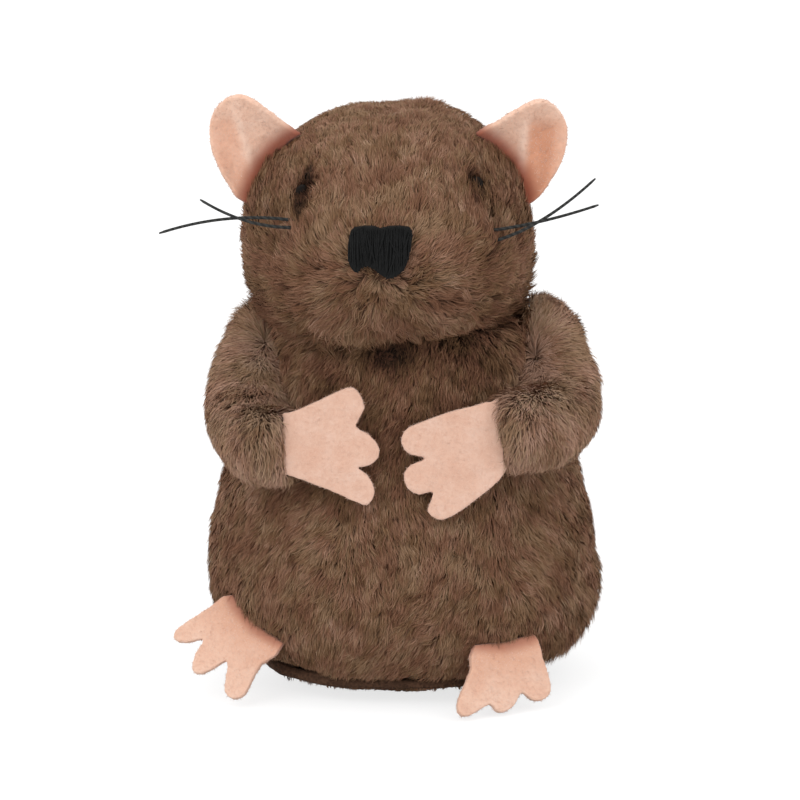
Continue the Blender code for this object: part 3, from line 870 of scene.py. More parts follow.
@dataclass
class Fibres:
    """Many fibres at once, each a path of a few points.

    Attributes:
        points: the paths, with the shape (fibres, points, 3).
        normals: the cloth's normal at each root.
        widths: how wide each fibre is.
        tones: each fibre's place across the map, by its dye and tone.
        softness: how far a fibre is shaded as the cloth under it is, which stands for the
            light that real fibres pass on to each other.
        spread: how wide each fibre lies on the map.
        roll: by how many radians the blades turn about their length.
        most_roll: the most that one turns.
        taper: the share of the width at the root and before the tip.
        stop_short: the share of its free length that a blocked fibre keeps.
    """

    points: np.ndarray
    normals: np.ndarray
    widths: np.ndarray
    tones: np.ndarray
    softness: float = 0.78
    spread: float = 0.004
    roll: float = 0.6
    most_roll: float = 1.2
    taper: tuple[float, float] = (0.9, 0.55)
    stop_short: float = 0.92

    def keep(self, chosen: np.ndarray) -> "Fibres":
        """Takes some of the fibres.

        Args:
            chosen: which ones, as numbers or as a yes or no for each.

        Returns:
            Those fibres.
        """
        return Fibres(
            self.points[chosen], self.normals[chosen], self.widths[chosen], self.tones[chosen]
        )

    def shorten_at(self, solids: list[Solid], least: float = 0.3) -> "Fibres":
        """Cuts fibres back where they would run into something.

        Args:
            solids: what stands in the way.
            least: the share of its length under which a fibre is left out.

        Returns:
            The fibres that remain.
        """
        free = np.ones(len(self.points))
        steps = self.points.shape[1] - 1
        for solid in solids:
            low, high = self.points.min(1), self.points.max(1)
            near = np.flatnonzero(((high > solid.low) & (low < solid.high)).all(1))
            paths = self.points[near].tolist()
            for number, path in zip(near, paths):
                for step in range(steps):
                    start, end = Vector(path[step]), Vector(path[step + 1])
                    way = end - start
                    _, normal, _, reached = solid.tree.ray_cast(start, way, way.length)
                    if reached is None:
                        continue
                    leaving = normal.dot(way) > 0
                    share = (step + reached / way.length) / steps
                    kept = 0.0 if leaving else self.stop_short * share
                    free[number] = min(free[number], kept)
                    break
        roots = self.points[:, :1]
        self.points = roots + (self.points - roots) * free[:, None, None]
        return self.keep(free > least)

    def mesh(self, name: str, rng: np.random.Generator) -> bpy.types.Mesh:
        """Makes a tapered blade of each fibre, with its light side outwards.

        The operators can't lay this many fibres in time, so the faces are listed here.

        Args:
            name: the mesh's name.
            rng: turns each blade about its length.

        Returns:
            A mesh with a map that holds each fibre's tone and height.
        """
        count, rings = len(self.points), self.points.shape[1] - 1
        ahead = unit(np.gradient(self.points, axis=1))
        across = unit(np.cross(ahead, self.normals[:, None]))
        up = np.cross(across, ahead)
        roll = rng.normal(0, self.roll, count).clip(-self.most_roll, self.most_roll)
        roll = roll[:, None, None]
        blade = across * np.cos(roll) + up * np.sin(roll)
        taper = np.linspace(*self.taper, rings)
        half = blade[:, :rings] * (self.widths[:, None] * taper)[:, :, None] / 2
        places = np.empty((count, 2 * rings + 1, 3))
        places[:, 0 : 2 * rings : 2] = self.points[:, :rings] - half
        places[:, 1 : 2 * rings : 2] = self.points[:, :rings] + half
        places[:, -1] = self.points[:, rings]
        corners = []
        for ring in range(rings - 1):
            at = 2 * ring
            corners += [at, at + 1, at + 3, at + 2]
        corners += [2 * rings - 2, 2 * rings - 1, 2 * rings]
        sizes = [4] * (rings - 1) + [3]
        each = 2 * rings + 1
        loops = (np.array(corners)[None] + each * np.arange(count)[:, None]).ravel()
        starts = np.concatenate([[0], np.cumsum(sizes)[:-1]])
        starts = (starts[None] + len(corners) * np.arange(count)[:, None]).ravel()
        mesh = bpy.data.meshes.new(name)
        mesh.vertices.add(count * each)
        mesh.vertices.foreach_set("co", places.astype(np.float32).ravel())
        mesh.loops.add(len(loops))
        mesh.loops.foreach_set("vertex_index", loops.astype(np.int32))
        mesh.polygons.add(len(starts))
        mesh.polygons.foreach_set("loop_start", starts.astype(np.int32))
        mesh.update(calc_edges=True)
        tone = self.tones.clip(0.005, 0.99)[:, None]
        beside = np.array([0.0, 1.0] * rings + [0.5])[None] * self.spread
        height = np.repeat(np.linspace(0.02, 0.98, rings + 1), 2)[:each]
        lay = np.empty((count, each, 2))
        lay[:, :, 0] = tone + beside
        lay[:, :, 1] = height[None]
        chart = mesh.uv_layers.new(name=PILE_MAP)
        chart.uv.foreach_set("vector", lay.reshape(-1, 2)[loops].astype(np.float32).ravel())
        faced = np.cross(blade, ahead)
        faced = unit(faced * (1 - self.softness) + self.normals[:, None] * self.softness)
        shown = np.repeat(faced, 2, axis=1)[:, :each]
        mesh.shade_smooth()
        mesh.normals_split_custom_set_from_vertices(shown.reshape(-1, 3))
        return mesh


@dataclass(frozen=True)
class Pile:
    """How the pile of a panel is made and lies.

    Attributes:
        per_mm2: fibres on a square millimetre.
        length: of a fibre.
        width: of a fibre, drawn three times as wide as a real one so that it shows.
        root_lift: degrees from the cloth to a fibre at its root.
        tip_lift: the same at its tip.
        tuft: the distance between tufts.
        pull: how far a tuft draws its tips together, as a share.
        stray: degrees by which fibres turn aside.
        curl: degrees by which a fibre turns on its way.
        tone: how much lighter than the rest of the toy it is.
        patch_tone: how much patches of the pile differ in tone.
        tuft_tone: how much tufts do.
        fibre_tone: how much single fibres do.
        patch_lean: by how many degrees patches stand up more or less.
        fibre_lean: by how many degrees single fibres do.
        uneven: how much fibres differ in length, as a share.
    """

    per_mm2: float = 8.5
    length: float = 0.0050
    width: float = 0.00029
    root_lift: float = 58.0
    tip_lift: float = 9.0
    tuft: float = 0.0018
    pull: float = 0.5
    stray: float = 13.0
    curl: float = 12.0
    tone: float = 0.0
    patch_tone: float = 0.09
    tuft_tone: float = 0.07
    fibre_tone: float = 0.04
    patch_lean: float = 6.0
    fibre_lean: float = 5.0
    uneven: float = 0.12


# How far apart the pile's broad turns, its fine turns, its leaning patches, its light patches
# and its patches of rosy dye are
BROAD_TURNS = 0.022
FINE_TURNS = 0.008
LEANING_PATCHES = 0.006
LIGHT_PATCHES = 0.010
ROSY_PATCHES = 0.009
MEAN_TONE = 0.5


@dataclass
class PlushPanel:
    """One sewn cover of plush: its cloth, and the pile that grows on it.

    Attributes:
        node: the CAD cover that it stands for.
        filling: the CAD filling inside, which tells the outer wall from the inner.
        body: the CAD body that carries it.
        seed: makes its random choices its own.
        pile: how its pile is made.
        blocked_by: the pieces, or CAD nodes, that the pile goes round.
        sewn_to: a cover that hides the cloth where it is sewn on, if there is one.
        cloth_depth: how far under the pile's outer face the cloth lies.
        cloth_thickness: of the cloth.
        wall_test: how near the filling a face belongs to the inner wall.
        seam_test: how near the cover that it is sewn to a face is left out.
        swelling: how the filling presses it out, if it does.
        lumps: how high the soft lumps of the filling show.
        lump_size: how far apart they are.
        path_steps: the steps of a fibre's path.
    """

    node: str
    filling: str
    body: str
    seed: int
    pile: Pile = Pile()
    blocked_by: tuple[str, ...] = ()
    sewn_to: str = ""
    cloth_depth: float = 0.0021
    cloth_thickness: float = 0.0006
    wall_test: float = 0.0016
    seam_test: float = 0.0006
    swelling: Swelling | None = Swelling()
    lumps: float = 0.0005
    lump_size: float = 0.015
    path_steps: int = 3

    def cloth(self) -> bpy.types.Mesh:
        """Makes the outer wall of the cover, drawn in to where the pile roots, and swollen.

        Returns:
            Its mesh.
        """
        inside = Solid.of_node(self.filling)
        beside = Solid.of_node(self.sewn_to) if self.sewn_to else None
        form = merged_copy(self.node)
        hidden = []
        for face in form.faces:
            middle = face.calc_center_median()
            inner = inside.distance(middle) < self.wall_test
            if inner or (beside and beside.distance(middle) < self.seam_test):
                hidden.append(face)
        bmesh.ops.delete(form, geom=hidden, context="FACES")
        bmesh.ops.join_triangles(
            form,
            faces=form.faces,
            angle_face_threshold=math.radians(40),
            angle_shape_threshold=math.radians(60),
        )
        form.normal_update()
        for vertex in form.verts:
            vertex.co -= vertex.normal * self.cloth_depth
        mesh = to_mesh(form, self.node + "_cloth")
        if self.swelling:
            self.swelling.of(mesh)
        mesh = subdivided(mesh)
        places, normals = points_of(mesh)
        swell = self.lumps * SoftField(self.lump_size, self.seed + 7).at(places).clip(-1, 1)
        move_points(mesh, places + normals * swell[:, None])
        return mesh

    def roots(
        self, mesh: bpy.types.Mesh, rng: np.random.Generator
    ) -> tuple[np.ndarray, np.ndarray]:
        """Scatters the roots over the cloth.

        Args:
            mesh: the cloth.
            rng: the panel's random numbers.

        Returns:
            The places and the normals of the roots.
        """
        mesh.calc_loop_triangles()
        places, normals = points_of(mesh)
        corners = np.empty(len(mesh.loop_triangles) * 3, np.int32)
        mesh.loop_triangles.foreach_get("vertices", corners)
        corners = corners.reshape(-1, 3)
        a, b, c = places[corners].transpose(1, 0, 2)
        area = np.linalg.norm(np.cross(b - a, c - a), axis=1) / 2
        weight = area * self.thickness_at((a + b + c) / 3)
        count = int(weight.sum() / MM**2 * self.pile.per_mm2)
        chosen = np.searchsorted(np.cumsum(weight) / weight.sum(), rng.random(count))
        chosen = chosen.clip(0, len(corners) - 1)
        u, v = rng.random((2, count))
        folded = u + v > 1
        u, v = np.where(folded, 1 - u, u)[:, None], np.where(folded, 1 - v, v)[:, None]
        first, second, third = corners[chosen].T
        rest = 1 - u - v
        roots = places[first] * rest + places[second] * u + places[third] * v
        upright = normals[first] * rest + normals[second] * u + normals[third] * v
        return roots, unit(upright)

    def thickness_at(self, places: np.ndarray) -> np.ndarray:
        """How thick the pile stands at each place, as a share."""
        return np.ones(len(places))

    def way_at(self, places: np.ndarray, normals: np.ndarray) -> np.ndarray:
        """Which way the pile is brushed at each place: down, on a plain panel."""
        return np.tile([0.0, 0.0, -1.0], (len(places), 1))

    def length_at(self, places: np.ndarray) -> np.ndarray:
        """How long the pile is at each place, as a share of the panel's length."""
        return np.ones(len(places))

    def lift_at(self, places: np.ndarray) -> np.ndarray:
        """By how many degrees more than the rest the pile stands up at each place."""
        return np.zeros(len(places))

    def matting_at(self, places: np.ndarray) -> np.ndarray:
        """How matted the pile is at each place, from 0, combed, to 1."""
        return np.zeros(len(places))

    def tone_at(self, places: np.ndarray) -> np.ndarray:
        """How much lighter than the rest the pile is where it shows."""
        return np.zeros(len(places))

    def pieces_of(self, places: np.ndarray) -> dict[str, np.ndarray]:
        """Splits the pile into pieces by name, so that none gets too many faces."""
        return {"pile": np.ones(len(places), bool)}

    def grow(self, mesh: bpy.types.Mesh, rng: np.random.Generator, built: dict) -> Fibres:
        """Grows the pile on the cloth.

        Args:
            mesh: the cloth.
            rng: the panel's random numbers.
            built: the surfaces of pieces that are made already, by name.

        Returns:
            The fibres, combed, gathered into tufts and clear of what is round them.
        """
        pile = self.pile
        roots, normals = self.roots(mesh, rng)
        count = len(roots)
        broad, fine = SoftField(BROAD_TURNS, self.seed), SoftField(FINE_TURNS, self.seed + 1)
        ways = flattened(self.way_at(roots, normals), normals)
        side = np.cross(normals, ways)
        matting = self.matting_at(roots)
        turn = 0.9 * broad.at(roots) + (1 + matting) * fine.at(roots)
        turn = (turn + rng.normal(0, 0.7, count)) * math.radians(pile.stray)
        ways = ways * np.cos(turn)[:, None] + side * np.sin(turn)[:, None]
        uneven = rng.normal(1, pile.uneven, count).clip(0.6, 1.3)
        length = pile.length * self.length_at(roots) * uneven
        lifts = np.linspace(pile.root_lift, pile.tip_lift, self.path_steps)
        leaning = SoftField(LEANING_PATCHES, self.seed + 2).at(roots)
        lean = rng.normal(0, pile.fibre_lean, count) + pile.patch_lean * leaning
        lean += self.lift_at(roots)
        side = np.cross(normals, ways)
        points = [roots]
        bend = np.zeros(count)
        for lift in lifts:
            bend = bend + np.radians(pile.curl) * (1 + matting) * rng.normal(size=count)
            heading = ways * np.cos(bend)[:, None] + side * np.sin(bend)[:, None]
            angle = np.radians(lift + lean)[:, None]
            step = heading * np.cos(angle) + normals * np.sin(angle)
            points.append(points[-1] + step * (length / self.path_steps)[:, None])
        paths = np.stack(points, 1)
        tufts = max(1, int(count / (pile.per_mm2 * (pile.tuft / MM) ** 2)))
        chosen = rng.choice(count, tufts, False)
        finder = KDTree(len(chosen))
        for number, place in enumerate(roots[chosen].tolist()):
            finder.insert(place, number)
        finder.balance()
        tuft = np.array([finder.find(place)[1] for place in roots.tolist()])
        leader = paths[chosen][tuft]
        pull = (pile.pull * rng.uniform(0.35, 1.3, len(chosen)))[tuft] * (1 + 0.6 * matting)
        grip = np.linspace(0, 1, self.path_steps + 1)[None] ** 1.4 * pull[:, None]
        paths += (leader - paths) * grip[:, :, None].clip(0, 0.95)
        tone = (
            MEAN_TONE
            + pile.tone
            + pile.tuft_tone * rng.normal(size=len(chosen))[tuft]
            + pile.fibre_tone * rng.normal(size=count)
            + pile.patch_tone * SoftField(LIGHT_PATCHES, self.seed + 3).at(roots)
            + self.tone_at(paths[:, 2])
        )
        rosy = SoftField(ROSY_PATCHES, self.seed + 4).at(roots) + 0.5 * rng.normal(size=count) > 0
        width = pile.width * rng.uniform(0.75, 1.25, count)
        fibres = Fibres(paths, normals, width, (tone.clip(0.03, 0.96) + rosy) / 2)
        return fibres.shorten_at([surface_of(name, built) for name in self.blocked_by])

    def add_cloth(
        self, suffix: str, mesh: bpy.types.Mesh, finish: bpy.types.Material, thickness: float
    ) -> bpy.types.Object:
        """Adds a piece of cloth.

        Args:
            suffix: what follows the node in its name.
            mesh: its outer face.
            finish: its material.
            thickness: of its wall, towards the filling.

        Returns:
            The new object.
        """
        cloth = add_piece(self.node + suffix, mesh, finish, self.body)
        wall = cloth.modifiers.new("cloth_thickness", "SOLIDIFY")
        wall.thickness = thickness
        wall.offset = -1
        return cloth

    def add_pile(
        self, suffix: str, fibres: Fibres, rng: np.random.Generator, finish: bpy.types.Material
    ) -> None:
        """Adds a piece of pile."""
        name = self.node + suffix
        add_piece(name, fibres.mesh(name, rng), finish, self.body)

    def build(
        self,
        pile_finish: bpy.types.Material,
        ground_finish: bpy.types.Material,
        built: dict[str, Solid],
    ) -> None:
        """Makes the cloth and the pile.

        Args:
            pile_finish: the fibres' material.
            ground_finish: the cloth's material.
            built: the surfaces of pieces by name, which gets the cloth's.
        """
        rng = np.random.default_rng(self.seed)
        mesh = self.cloth()
        fibres = self.grow(mesh, rng, built)
        built[self.node + "_cloth"] = Solid(mesh)
        cloth = self.add_cloth("_cloth", mesh, ground_finish, self.cloth_thickness)
        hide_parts(self.node)
        for name, chosen in self.pieces_of(fibres.points[:, 0]).items():
            self.add_pile("_" + name, fibres.keep(chosen), rng, pile_finish)


@dataclass
class BodyPanel(PlushPanel):
    """The body's cover, brushed down, with the waves and the swirl of the photograph.

    Attributes:
        strokes_mm: across, height and direction of brush strokes on the belly; 90 degrees is
            straight down and less leans to the toy's right.
        stroke_reach: how far a brush stroke is felt.
        arms: the CAD sleeves that lie on it.
        left_pit_mm: across and height of the pit of the left elbow, where the pile parts.
        pocket_mm: across and height of the pocket under the chin, short and painted with shade,
            and its half sizes.
    """

    strokes_mm: tuple[tuple[float, float, float], ...] = (
        (-36, 46, 72),
        (-22, 44, 50),
        (-7, 45, 95),
        (0, 44, 114),
        (20, 44, 76),
        (42, 44, 101),
        (-24, 34, 58),
        (-4, 36, 94),
        (16, 35, 54),
        (31, 37, 160),
        (42, 34, 106),
        (-12, 25, 66),
        (8, 25, 53),
        (36, 24, 88),
        (-25, 20, 84),
        (12, 14, 48),
        (-4, 68, 74),
        (0, 84, 80),
    )
    stroke_reach: float = 0.006
    arms: tuple[str, str] = ("right_arm_sleeve", "left_arm_sleeve")
    left_pit_mm: tuple[float, float] = (32.5, 84.0)
    pocket_mm: tuple[float, float, float, float] = (-3.0, 88.5, 5.2, 3.4)
    pit_height: Rise = Rise(Z, 74.0, 80.0)
    hem: Rise = Rise(Z, 7.0, 12.0)
    right_side: Rise = Rise(X, -14.0, -26.0)
    right_low: Rise = Rise(Z, 24.0, 12.0)
    left_side: Rise = Rise(X, 30.0, 40.0)
    left_low: Rise = Rise(Z, 36.0, 26.0)
    neck: Rise = Rise(Z, 86.0, 92.0)
    ahead: Rise = Rise(Y, 0.0, -20.0)
    behind: Rise = Rise(Y, 0.0, 20.0)
    # Where the chest is painted with shade
    breast: Rise = Rise(X, 40.0, 20.0, middle_mm=0.0)
    breast_height: Rise = Rise(Z, 46.0, 62.0)
    # Where painted light lifts the shade under the chin
    right_neck: Rise = Rise(X, -4.0, -12.0)
    # Up to where painted light lifts the shade beside the sleeves
    below_neck: Rise = Rise(Z, 90.0, 84.0)

    def way_at(self, places: np.ndarray, normals: np.ndarray) -> np.ndarray:
        """Down, leaning as the nearest brush strokes do on the front."""
        table = np.array(self.strokes_mm)
        spots, angles = table[:, :2] * MM, np.radians(table[:, 2])
        gap = np.linalg.norm(places[:, None, ::2] - spots[None], axis=2)
        weight = np.exp(-((gap / self.stroke_reach) ** 2) / 2) + 1e-4 / (1 + (gap / MM) ** 2)
        weight /= weight.sum(1, keepdims=True)
        front = smooth_step(-normals[:, Y], -0.1, 0.4)
        ways = np.zeros((len(places), 3))
        ways[:, X] = -(weight @ np.cos(angles)) * front
        ways[:, Z] = -(weight @ np.sin(angles)) * front - (1 - front)
        across, height = self.left_pit_mm
        away = unit(places - np.array([across, 0, height]) * MM) * [1, 0, 1]
        joined = nearness(places, self.arms[1], 0.001, 0.008) * self.pit_height.at(places)
        joined = (joined * front)[:, None]
        return ways * (1 - joined) + away * joined

    def low_left(self, places: np.ndarray) -> np.ndarray:
        """How much each place belongs to the lower end of the left side."""
        return self.left_side.at(places) * self.left_low.at(places)

    def length_at(self, places: np.ndarray) -> np.ndarray:
        """Short at the base seam, so that it doesn't sweep the floor."""
        share = 0.4 + 0.6 * self.hem.at(places)
        low_right = self.right_side.at(places) * self.right_low.at(places)
        sides = 1 - 0.5 * low_right + 0.35 * self.low_left(places)
        return share * sides * (1 - 0.65 * self.pocket(places))

    def pocket(self, places: np.ndarray) -> np.ndarray:
        """How near each place is to the dark pocket under the chin, as a share."""
        across, height, half_width, half_height = self.pocket_mm
        near = mound(places[:, X] / MM, across, half_width)
        near = near * mound(places[:, Z] / MM, height, half_height)
        return near * (places[:, Y] < 0)

    def lift_at(self, places: np.ndarray) -> np.ndarray:
        """Up at the neck, where the head holds the pile, and low on the left side."""
        return 25 * self.neck.at(places) + 14 * self.low_left(places)

    def thickness_at(self, places: np.ndarray) -> np.ndarray:
        """Thinner on the back."""
        return 1 - 0.48 * self.behind.at(places)

    def tone_at(self, places: np.ndarray) -> np.ndarray:
        """Painted shade on the chest and under the chin; painted light beside the sleeves and on
        the toy's right under the chin.
        """
        front = self.ahead.at(places)
        chest = self.breast.at(places) * self.breast_height.at(places) * front
        under = nearness(places, "head_cover", 0.002, 0.010) * front
        sleeves = [nearness(places, node, 0.001, 0.006) for node in self.arms]
        beside = np.maximum(*sleeves) * front * self.below_neck.at(places)
        # Painted shade on the chest, in the pocket and under the chin; painted light beside the
        # sleeves and right of the chin
        shade = -0.14 * chest - 0.42 * self.pocket(places)
        shade += under * (0.12 * self.right_neck.at(places) - 0.04)
        return shade + 0.22 * beside

    def pieces_of(self, places: np.ndarray) -> dict[str, np.ndarray]:
        """Belly, chest, flanks and back."""
        across, depth, height = (places / MM).T
        right = across < 0
        front, back = depth < -12, depth > 14
        flank = ~front & ~back
        low = height < 42
        return {
            "belly_pile": front & low,
            "right_chest_pile": front & ~low & right,
            "left_chest_pile": front & ~low & ~right,
            "right_flank_pile": flank & right,
            "left_flank_pile": flank & ~right,
            "lower_back_pile": back & low,
            "upper_back_pile": back & ~low,
        }


@dataclass
class BasePanel(PlushPanel):
    """The panel under the toy, with short pile pressed by the floor."""

    edge: Rise = Rise(Z, 3.0, 6.0)

    def way_at(self, places: np.ndarray, normals: np.ndarray) -> np.ndarray:
        """Backwards under the toy, and down its edge."""
        edge = self.edge.at(places)[:, None]
        return np.array([0.0, 1.0, 0.0]) * (1 - edge) + np.array([0.0, 0.0, -1.0]) * edge


@dataclass
class HeadPanel(PlushPanel):
    """The head's cover, brushed away from the nose, over the crown and down the nape.

    Attributes:
        muzzle: where the brushing starts.
        turning_height: where the pile turns from down to up.
        turning_depth: half the height over which it turns.
        eye_places: the middle of each eye.
        eye_slants: the direction of each slit in degrees.
        eye_shades: how much painted shade darkens each slit.
        slit_half_length: of a slit.
        slit_half_width: of a slit.
        hanging_mm: where across the chin a long lock hangs, and half its width.
        knoll_mm: the same for a knoll on the crown.
        shades_mm: patches of painted light and shade, as shades_at takes them.
    """

    muzzle: tuple[float, float, float] = (-0.0054, -0.0465, 0.1130)
    turning_height: float = 0.1035
    turning_depth: float = 0.012
    eye_places: tuple[tuple[float, float, float], ...] = ()
    eye_slants: tuple[float, ...] = ()
    eye_shades: tuple[float, ...] = (0.42, 0.28)
    slit_half_length: float = 0.0038
    slit_half_width: float = 0.0010
    hanging_mm: tuple[float, float] = (-16.0, 8.0)
    knoll_mm: tuple[float, float] = (6.0, 6.0)
    shades_mm: tuple[tuple[float, ...], ...] = (
        (9.0, 133.5, 1.6, 7.0, -0.10),
        (4.5, 138.0, 2.0, 2.5, -0.08),
        (-1.0, 136.3, 1.3, 1.5, -0.18),
        (-2.2, 127.6, 1.2, 1.4, -0.20),
        (-5.5, 122.4, 1.4, 1.2, -0.18),
        (-20.5, 127.0, 2.4, 4.5, -0.10),
        (-9.0, 131.0, 6.0, 6.0, 0.05),
        (9.0, 106.0, 5.0, 4.0, 0.07),
        (-17.0, 112.0, 4.0, 4.0, 0.05),
        (-14.5, 92.0, 1.4, 1.6, -0.20),
        (-10.0, 89.5, 1.4, 1.4, -0.20),
        (-16.0, 84.0, 4.5, 4.0, 0.06),
        (-33.0, 96.0, 4.0, 6.0, -0.06),
        (3.0, 92.0, 2.5, 2.0, -0.10),
    )
    upper_face: Rise = Rise(Z, 108.0, 128.0)
    nape: Rise = Rise(Y, -4.0, 12.0)
    chin: Rise = Rise(Z, 112.0, 98.0)
    chin_matting: Rise = Rise(Z, 116.0, 100.0)
    crown: Rise = Rise(Z, 132.0, 142.0)
    right_side: Rise = Rise(X, -10.0, -22.0)
    right_crown: Rise = Rise(Z, 126.0, 136.0)
    neck_side: Rise = Rise(X, 16.0, 24.0, middle_mm=-3.5)
    neck_height: Rise = Rise(Z, 104.0, 97.0)
    ahead: Rise = Rise(Y, 0.0, -20.0)
    behind: Rise = Rise(Y, 0.0, 20.0)
    below_crown: Rise = Rise(Z, 138.0, 128.0)
    # Where the forehead gets painted light and the cheeks painted shade
    forehead: Rise = Rise(Z, 120.0, 140.0)
    cheek: Rise = Rise(X, 16.0, 28.0, middle_mm=-3.5)

    def way_at(self, places: np.ndarray, normals: np.ndarray) -> np.ndarray:
        """Away from the nose, up past the eyes, back over the crown, and down behind."""
        away = places - np.array(self.muzzle)
        level = ((places[:, Z] - self.turning_height) / self.turning_depth).clip(-1, 1)
        upright = flattened(np.tile([0.0, 0.0, 1.0], (len(places), 1)), normals)
        far = smooth_step(np.linalg.norm(away, axis=1), 0.009, 0.030) * self.upper_face.at(places)
        near_share = (0.35 + 0.65 * (1 - far))[:, None]
        ways = flattened(away, normals) * near_share
        ways = unit(ways + upright * (level * (0.35 + far))[:, None])
        top = smooth_step(normals[:, Z], 0.62, 0.97)[:, None]
        ways = ways * (1 - top) + np.array([0.0, 1.0, 0.0]) * top
        behind = self.nape.at(places)[:, None]
        return ways * (1 - behind) + np.array([0.0, 0.25, -1.0]) * behind

    def length_at(self, places: np.ndarray) -> np.ndarray:
        """Short round the nose and the eyes, long below the nose."""
        distance = np.linalg.norm(places - np.array(self.muzzle), axis=1)
        share = 0.55 + 0.45 * smooth_step(distance, 0.006, 0.014)
        low, crown = self.chin.at(places), self.crown.at(places)
        hanging = mound(places[:, X] / MM, *self.hanging_mm) * (places[:, Y] < 0)
        knoll = mound(places[:, X] / MM, *self.knoll_mm)
        right_crown = self.right_side.at(places) * self.right_crown.at(places)
        share = share * (1 + 0.3 * low + 0.35 * self.neck_share(places))
        share = share * (1 + 0.75 * low * hanging)
        share = share * (1 - 0.25 * crown + 0.4 * crown * knoll) * (1 - 0.45 * right_crown)
        return share * (1 - 0.25 * self.eye_share(places, 1.6))

    def lift_at(self, places: np.ndarray) -> np.ndarray:
        """Up beside the neck, where the shoulders hold the pile."""
        return 20 * self.neck_share(places)

    def neck_share(self, places: np.ndarray) -> np.ndarray:
        """How much each place belongs to the sides of the neck."""
        return self.neck_side.at(places) * self.neck_height.at(places)

    def matting_at(self, places: np.ndarray) -> np.ndarray:
        """Matted on the chin and a little beside the nose."""
        return 0.2 + 0.45 * self.chin_matting.at(places)

    def eye_share(
        self, places: np.ndarray, reach: float, depths: tuple[float, float] = (1.0, 1.0)
    ) -> np.ndarray:
        """How near each place is to an eye's slit.

        Args:
            places: points on the head.
            reach: how many times the slit's size counts as near.
            depths: a weight for each eye's slit; for the tone, how much painted shade darkens it.

        Returns:
            The eye's weight in the slit, falling to 0 at reach times its size.
        """
        share = np.zeros(len(places))
        for (across, _, height), slant, depth in zip(self.eye_places, self.eye_slants, depths):
            x, z = places[:, X] - across, places[:, Z] - height
            lean = math.radians(slant)
            along = x * math.cos(lean) + z * math.sin(lean)
            beside = z * math.cos(lean) - x * math.sin(lean)
            size = np.hypot(along / self.slit_half_length, beside / self.slit_half_width)
            near = 1 - smooth_step(size, 1.0, reach)
            share = np.maximum(share, depth * near * (places[:, Y] < 0))
        return share

    def thickness_at(self, places: np.ndarray) -> np.ndarray:
        """Thin in the slits of the eyes, thinner behind, but not on the crown."""
        behind = 0.40 * self.behind.at(places) * self.below_crown.at(places)
        return (1 - behind) * (1 - 0.35 * (self.eye_share(places, 1.2) > 0.5))

    def tone_at(self, places: np.ndarray) -> np.ndarray:
        """Painted shade in the eyes' slits and on the cheeks, painted light on the forehead, and
        painted patches.
        """
        forehead = self.forehead.at(places) * self.ahead.at(places)
        cheeks = self.cheek.at(places) * (1 - forehead)
        # Painted light on the forehead, painted shade on the cheeks and in the eyes' slits, and
        # the painted patches
        shade = 0.03 * forehead - 0.07 * cheeks - self.eye_share(places, 2.0, self.eye_shades)
        return shade + shades_at(places, self.shades_mm)

    def pieces_of(self, places: np.ndarray) -> dict[str, np.ndarray]:
        """Muzzle, forehead, crown and nape."""
        _, depth, height = (places / MM).T
        front, high = depth < -10, height > 120
        return {
            "muzzle_pile": front & ~high,
            "forehead_pile": front & high,
            "crown_pile": ~front & high,
            "nape_pile": ~front & ~high,
        }


